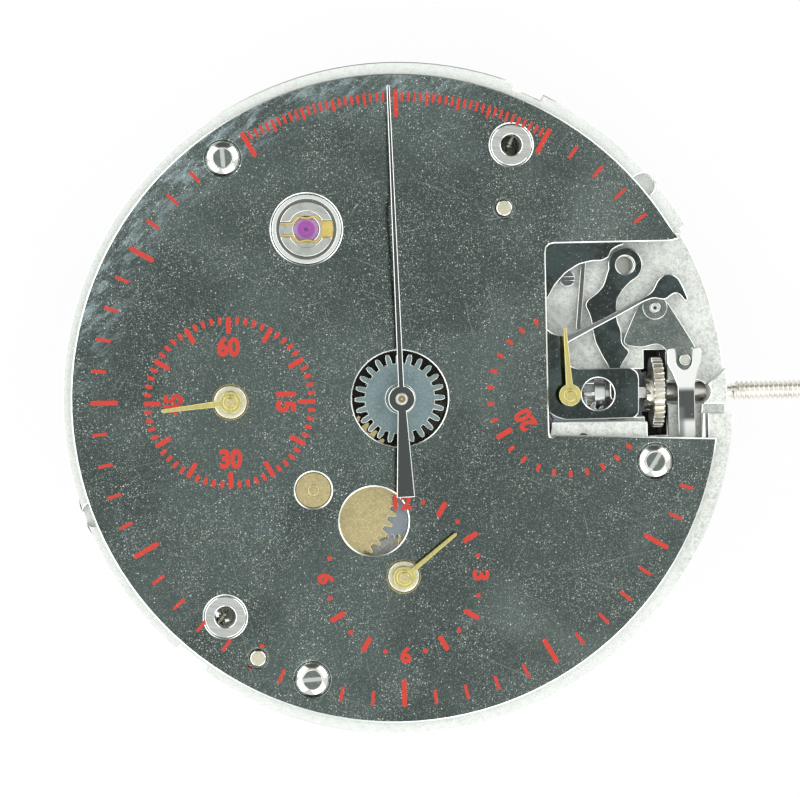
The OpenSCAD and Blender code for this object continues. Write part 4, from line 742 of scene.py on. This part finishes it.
FINISHES = {
    "main_plate": (plate_nickel, bright_edge, 0.05),
    "steady_pins": (pale_brass, polished_steel, 0.05),
    "intermediate_winding_wheel": (wheel_steel, polished_steel, 0.02),
    "shock_spring_dial_side": (lyre_gold, lyre_edge, 0.015),
    "keyless_cover": (cover_polish, bright_edge, 0.05),
    "keyless_screws": (dark_steel, polished_steel, 0.03),
    "setting_lever": (lever_steel, bright_edge, 0.03),
    "setting_fork_spring": (fork_steel, bright_edge, 0.04),
    "yoke": (black_polish, bright_edge, 0.04),
    "yoke_spring": (dark_steel, cream_steel, 0.03),
    "sliding_pinion": (soft_steel, polished_steel, 0.03),
    "winding_pinion": (cream_steel, polished_steel, 0.03),
    "setting_wheel": (wheel_steel, polished_steel, 0.02),
    "intermediate_setting_wheel": (near_black_satin, near_black_satin, 0.02),
    # The minute wheel's near-black is painted shade: it lies in the shade under the hour wheel.
    "minute_wheel": (near_black_satin, near_black_satin, 0.015),
    "cannon_pinion": (polished_steel, polished_steel, 0.02),
    "hour_wheel": (teal_steel, cream_steel, 0.025),
    "day_wheel": (wheel_brass, satin_brass, 0.02),
    "hour_counter_idler": (wheel_steel, polished_steel, 0.015),
    "hour_counter_wheel": (satin_brass, satin_brass, 0.015),
    "chrono_seconds_hand": (hub_steel, bright_edge, 0.035),
    "small_seconds_hand": (gold_hands, gold_hands, 0.03),
    "minute_counter_hand": (gold_hands, gold_hands, 0.03),
    "hour_counter_hand": (gold_hands, gold_hands, 0.03),
    "barrel_drum": (satin_brass, satin_brass, 0.02),
    "barrel_cover": (satin_brass, satin_brass, 0.02),
    "barrel_arbor": (polished_steel, polished_steel, 0.04),
    "mainspring": (blue_steel, blue_steel, 0.0),
    "barrel_bridge": (blasted_nickel, bright_edge, 0.1),
    "ratchet_wheel": (wheel_steel, polished_steel, 0.02),
    "crown_wheel": (wheel_steel, polished_steel, 0.02),
    "click": (pale_steel, polished_steel, 0.03),
    "click_spring": (pale_steel, polished_steel, 0.02),
    "centre_wheel": (satin_brass, satin_brass, 0.015),
    "third_wheel": (satin_brass, satin_brass, 0.015),
    "fourth_wheel": (satin_brass, satin_brass, 0.015),
    "escape_wheel": (polished_steel, polished_steel, 0.01),
    "pallet_fork": (polished_steel, polished_steel, 0.015),
    "pallet_bridge": (blasted_nickel, bright_edge, 0.05),
    "train_bridge": (blasted_nickel, bright_edge, 0.05),
    "bridge_jewels": (jewels, jewels, 0.04),
    "balance_cock": (blasted_nickel, bright_edge, 0.1),
    "balance_wheel": (gold_wheel, gold_wheel, 0.02),
    "hairspring": (blue_steel, blue_steel, 0.0),
    "regulator_index": (polished_steel, polished_steel, 0.02),
    "shock_setting_back": (gold_wheel, polished_steel, 0.04),
    "minute_counter_runner": (gold_wheel, satin_brass, 0.01),
    "intermediate_counter_wheel": (wheel_steel, polished_steel, 0.015),
    "coupling_lever": (pale_steel, bright_edge, 0.03),
    "coupling_wheel": (gold_wheel, satin_brass, 0.01),
    "column_wheel": (polished_steel, bright_edge, 0.03),
    "operating_lever": (pale_steel, bright_edge, 0.04),
    "reset_hammer": (pale_steel, bright_edge, 0.04),
    "chrono_bridge": (blasted_nickel, bright_edge, 0.1),
}

for node, (face, edge, width) in FINISHES.items():
    if width:
        machined(node, face, edge, width)
    else:
        for slot in frame["nodes"][node].material_slots:
            slot.material = face


def screw_faces(centre, normal, index):
    """Dial screws have a flat head inside a polished cup, lower screws a grey-green top."""
    if centre.z < PLATE_TOP + 0.01:
        return THIRD if normal.z > 0.9 and index == FACE else index
    if nearest(centre, DIAL_SCREWS) < 0.45 and centre.z < DIAL_TOP + 0.01:
        return THIRD if centre.z > DIAL_TOP - 0.05 else EDGE
    return FOURTH


def plate_edges(centre, normal, index):
    """The plate's edges are bright, apart from those round the screws and the pins."""
    return FACE if nearest(centre, DIAL_SCREWS + STEADY_PINS) < 1.1 else index


def bush_faces(centre, normal, index):
    """The dial-foot tubes are silver, the bushes of the small hands brass."""
    return index if nearest(centre, DIAL_FEET) < 1.2 else THIRD


def setting_faces(centre, normal, index):
    """The rim of the shock setting is brighter than its turned core."""
    on_rim = nearest(centre, [BALANCE_AT]) > 1.38 and centre.z > DIAL_TOP - 0.12
    return EDGE if on_rim else index


def runner_faces(centre, normal, index):
    """The chronograph arbor is steel where it comes out of the dial side."""
    return THIRD if centre.z > PLATE_TOP else index


machined("dial_plate", dark_mirror, bright_edge, 0.07, pick=plate_edges)
machined("arbor_bushes", pale_steel, polished_steel, 0.05, pick=bush_faces,
         more=(pale_brass,))
machined("shock_setting_dial_side", turned_setting, bright_edge, 0.03, pick=setting_faces)
machined("movement_screws", polished_steel, polished_steel, 0.025, pick=screw_faces,
         more=(screw_head, cup_steel))
machined("chrono_runner", gold_wheel, satin_brass, 0.01, pick=runner_faces,
         more=(pivot_steel,))


# Threads

THREAD_PITCH = 0.225
THREAD_BLANK = 0.45
THREAD_ROOT = 0.335
THREAD_TIP = 0.445
FOOT_SCREW_Z = 0.88


def helix(bm, pitch, turns, root, tip, place, steps=32):
    """A thread that winds about +X from the origin, before it is placed.

    Its crest takes up the middle of each turn, from 0.42 to 0.58 of the pitch.
    """
    verts = [bm.verts.new((k * pitch, 0, r)) for r, k in
             ((root, 0.0), (tip, 0.42), (tip, 0.58), (root, 1.0))]
    edges = [bm.edges.new(pair) for pair in zip(verts, verts[1:])]
    before = set(bm.faces)
    bmesh.ops.spin(bm, geom=verts + edges, cent=(0, 0, 0), axis=(1, 0, 0),
                   dvec=(pitch / steps, 0, 0), angle=2 * pi * turns, steps=steps * turns,
                   use_merge=False)
    own = list({v for f in bm.faces if f not in before for v in f.verts})
    bmesh.ops.remove_doubles(bm, verts=own, dist=1e-4)
    faces = [f for f in bm.faces if f not in before]
    for face in faces:
        middle = face.calc_center_median()
        if face.normal.y * middle.y + face.normal.z * middle.z < 0:
            face.normal_flip()
    bmesh.ops.transform(bm, matrix=place, verts=list({v for f in faces for v in f.verts}))


def threaded_stem():
    """The stem with its thread cut as one long helix, and its tip a trifle shorter."""
    bm = cad_copy("winding_stem")
    for v in bm.verts:
        away = hypot(v.co.y, v.co.z - STEM_Z)
        if v.co.x > THREAD_FROM - 0.02 and away > THREAD_BLANK - 0.05:
            v.co.y *= THREAD_ROOT / THREAD_BLANK
            v.co.z = STEM_Z + (v.co.z - STEM_Z) * THREAD_ROOT / THREAD_BLANK
        if v.co.x < STEM_TIP + 0.01:
            v.co.x += 0.02
    break_edges(bm, 0.02)
    turns = int((THREAD_TO - THREAD_FROM - 0.3) / THREAD_PITCH)
    helix(bm, THREAD_PITCH, turns, THREAD_ROOT - 0.01, THREAD_TIP,
          shift(THREAD_FROM + 0.02, 0, STEM_Z))
    return settle("threaded_stem", bm, [stem_steel, polished_steel],
                  NODE_BODY["winding_stem"], NODE_SLOT["winding_stem"], "winding_stem")


def foot_screw_points():
    """The pointed ends of the two dial-foot screws, which show inside the foot holes."""
    bm = bmesh.new()
    for x, y in DIAL_FEET:
        place = (shift(x, y, FOOT_SCREW_Z) @ spin_turn(degrees(atan2(-y, -x)))
                 @ shift(-FOOT_HOLE_R - 0.1, 0))
        lathe(bm, [(0, 0), (0.14, 0), (0.14, 0.55), (0, 0.86)],
              place @ spin_turn(90, "Y"))
        helix(bm, 0.16, 3, 0.12, 0.22, place @ shift(0.02, 0))
    return settle("foot_screw_points", bm, [cream_steel], "plate",
                  NODE_SLOT["movement_screws"])


def pinion_slot_shade_block():
    """A near-black block under the slot in which the sliding pinion runs: a sheet of painted
    shade for the slot's bottom.
    """
    bm = bmesh.new()
    block(bm, (1.04, 3.96, 0.06), shift(11.96, 0, -1.95))
    return settle("pinion_slot_shade_block", bm, [near_black_satin], "plate", NODE_SLOT["main_plate"])


threaded_stem()
foot_screw_points()
pinion_slot_shade_block()


# Floor, lamps and camera


def floor():
    """A white table that glows to the camera and in reflections, and still takes shadows."""
    bpy.ops.mesh.primitive_plane_add(size=3, location=(0, 0, cad_box[0].z - 0.0012))
    plane = bpy.context.object
    plane.name = "table"
    material = bpy.data.materials.new("white_table")
    material.use_nodes = True
    tree = material.node_tree
    tree.nodes.clear()
    path = tree.nodes.new("ShaderNodeLightPath").outputs
    matt = joined(tree, "ShaderNodeBsdfDiffuse", (0.9, 0.9, 0.9, 1))
    glow = joined(tree, "ShaderNodeEmission", (1, 1, 1, 1), 1.0)
    seen = joined(tree, "ShaderNodeMath", path["Is Camera Ray"], path["Is Glossy Ray"],
                  operation="MAXIMUM")
    seen = joined(tree, "ShaderNodeMath", seen.outputs[0], path["Is Transmission Ray"],
                  operation="MAXIMUM")
    share = joined(tree, "ShaderNodeMath", seen.outputs[0], 0.9, operation="MULTIPLY")
    mix = joined(tree, "ShaderNodeMixShader",
                 share.outputs[0], matt.outputs[0], glow.outputs[0])
    joined(tree, "ShaderNodeOutputMaterial", mix.outputs[0])
    plane.data.materials.append(material)


def lamp(name, azimuth, elevation, strength):
    """A square soft box that faces the object."""
    distance = 0.3
    light = bpy.data.lights.new(name, "AREA")
    light.shape = "SQUARE"
    light.size = 0.24
    light.energy = strength
    holder = bpy.data.objects.new(name, light)
    a, e = radians(azimuth), radians(elevation)
    place = Vector((cos(a) * cos(e), sin(a) * cos(e), sin(e))) * distance
    holder.location = place
    holder.rotation_euler = (-place).to_track_quat("-Z", "Y").to_euler()
    bpy.context.collection.objects.link(holder)


def studio_world():
    """A pale tent, dimmer overhead and with one dark side behind the object."""
    world = bpy.data.worlds.new("studio")
    world.use_nodes = True
    tree = world.node_tree
    sky = tree.nodes["Background"]
    sky.inputs["Color"].default_value = (0.96, 1.0, 0.99, 1)
    direction = tree.nodes.new("ShaderNodeTexCoord").outputs["Generated"]
    height = joined(tree, "ShaderNodeSeparateXYZ", direction).outputs[2]
    dark_side = joined(tree, "ShaderNodeVectorMath", direction,
                       (0.05, cos(radians(33)), sin(radians(33))),
                       operation="DOT_PRODUCT").outputs["Value"]
    level = joined(tree, "ShaderNodeMath", eased(tree, height, 0.3, 0.95, 0.85, 0.78),
                   eased(tree, dark_side, 0.84, 0.95, 1.0, 0.12), operation="MULTIPLY")
    tree.links.new(level.outputs[0], sky.inputs["Strength"])
    bpy.context.scene.world = world


floor()
SOFT_BOXES = ((150, 40, 0.27), (215, 38, 0.25), (300, 40, 0.25), (28, 38, 0.25))
for index, (azimuth, elevation, strength) in enumerate(SOFT_BOXES):
    lamp(f"soft_box_{index}", azimuth, elevation, strength)
studio_world()

CAMERA_DISTANCE = 0.165
CAMERA_LEAN = Vector((-0.052, 0.0175, 0.9985)).normalized()
CAMERA_ROLL = 1.2
VIEW_WIDTH = 0.0368

camera_data = bpy.data.cameras.new("camera")
camera_data.sensor_width = 36
camera_data.lens = 36 * CAMERA_DISTANCE / VIEW_WIDTH
camera_data.clip_start = 0.001
camera = bpy.data.objects.new("camera", camera_data)
bpy.context.collection.objects.link(camera)
target = Vector((0, 0, DIAL_TOP * MM))
up_hint = Vector((sin(radians(CAMERA_ROLL)), cos(radians(CAMERA_ROLL)), 0))
right = up_hint.cross(CAMERA_LEAN).normalized()
up = CAMERA_LEAN.cross(right)
turn = Matrix((right, up, CAMERA_LEAN)).transposed().to_4x4()
camera.matrix_world = shift(*(target + CAMERA_LEAN * CAMERA_DISTANCE)) @ turn
bpy.context.scene.camera = camera

bpy.context.scene.view_settings.view_transform = "Standard"
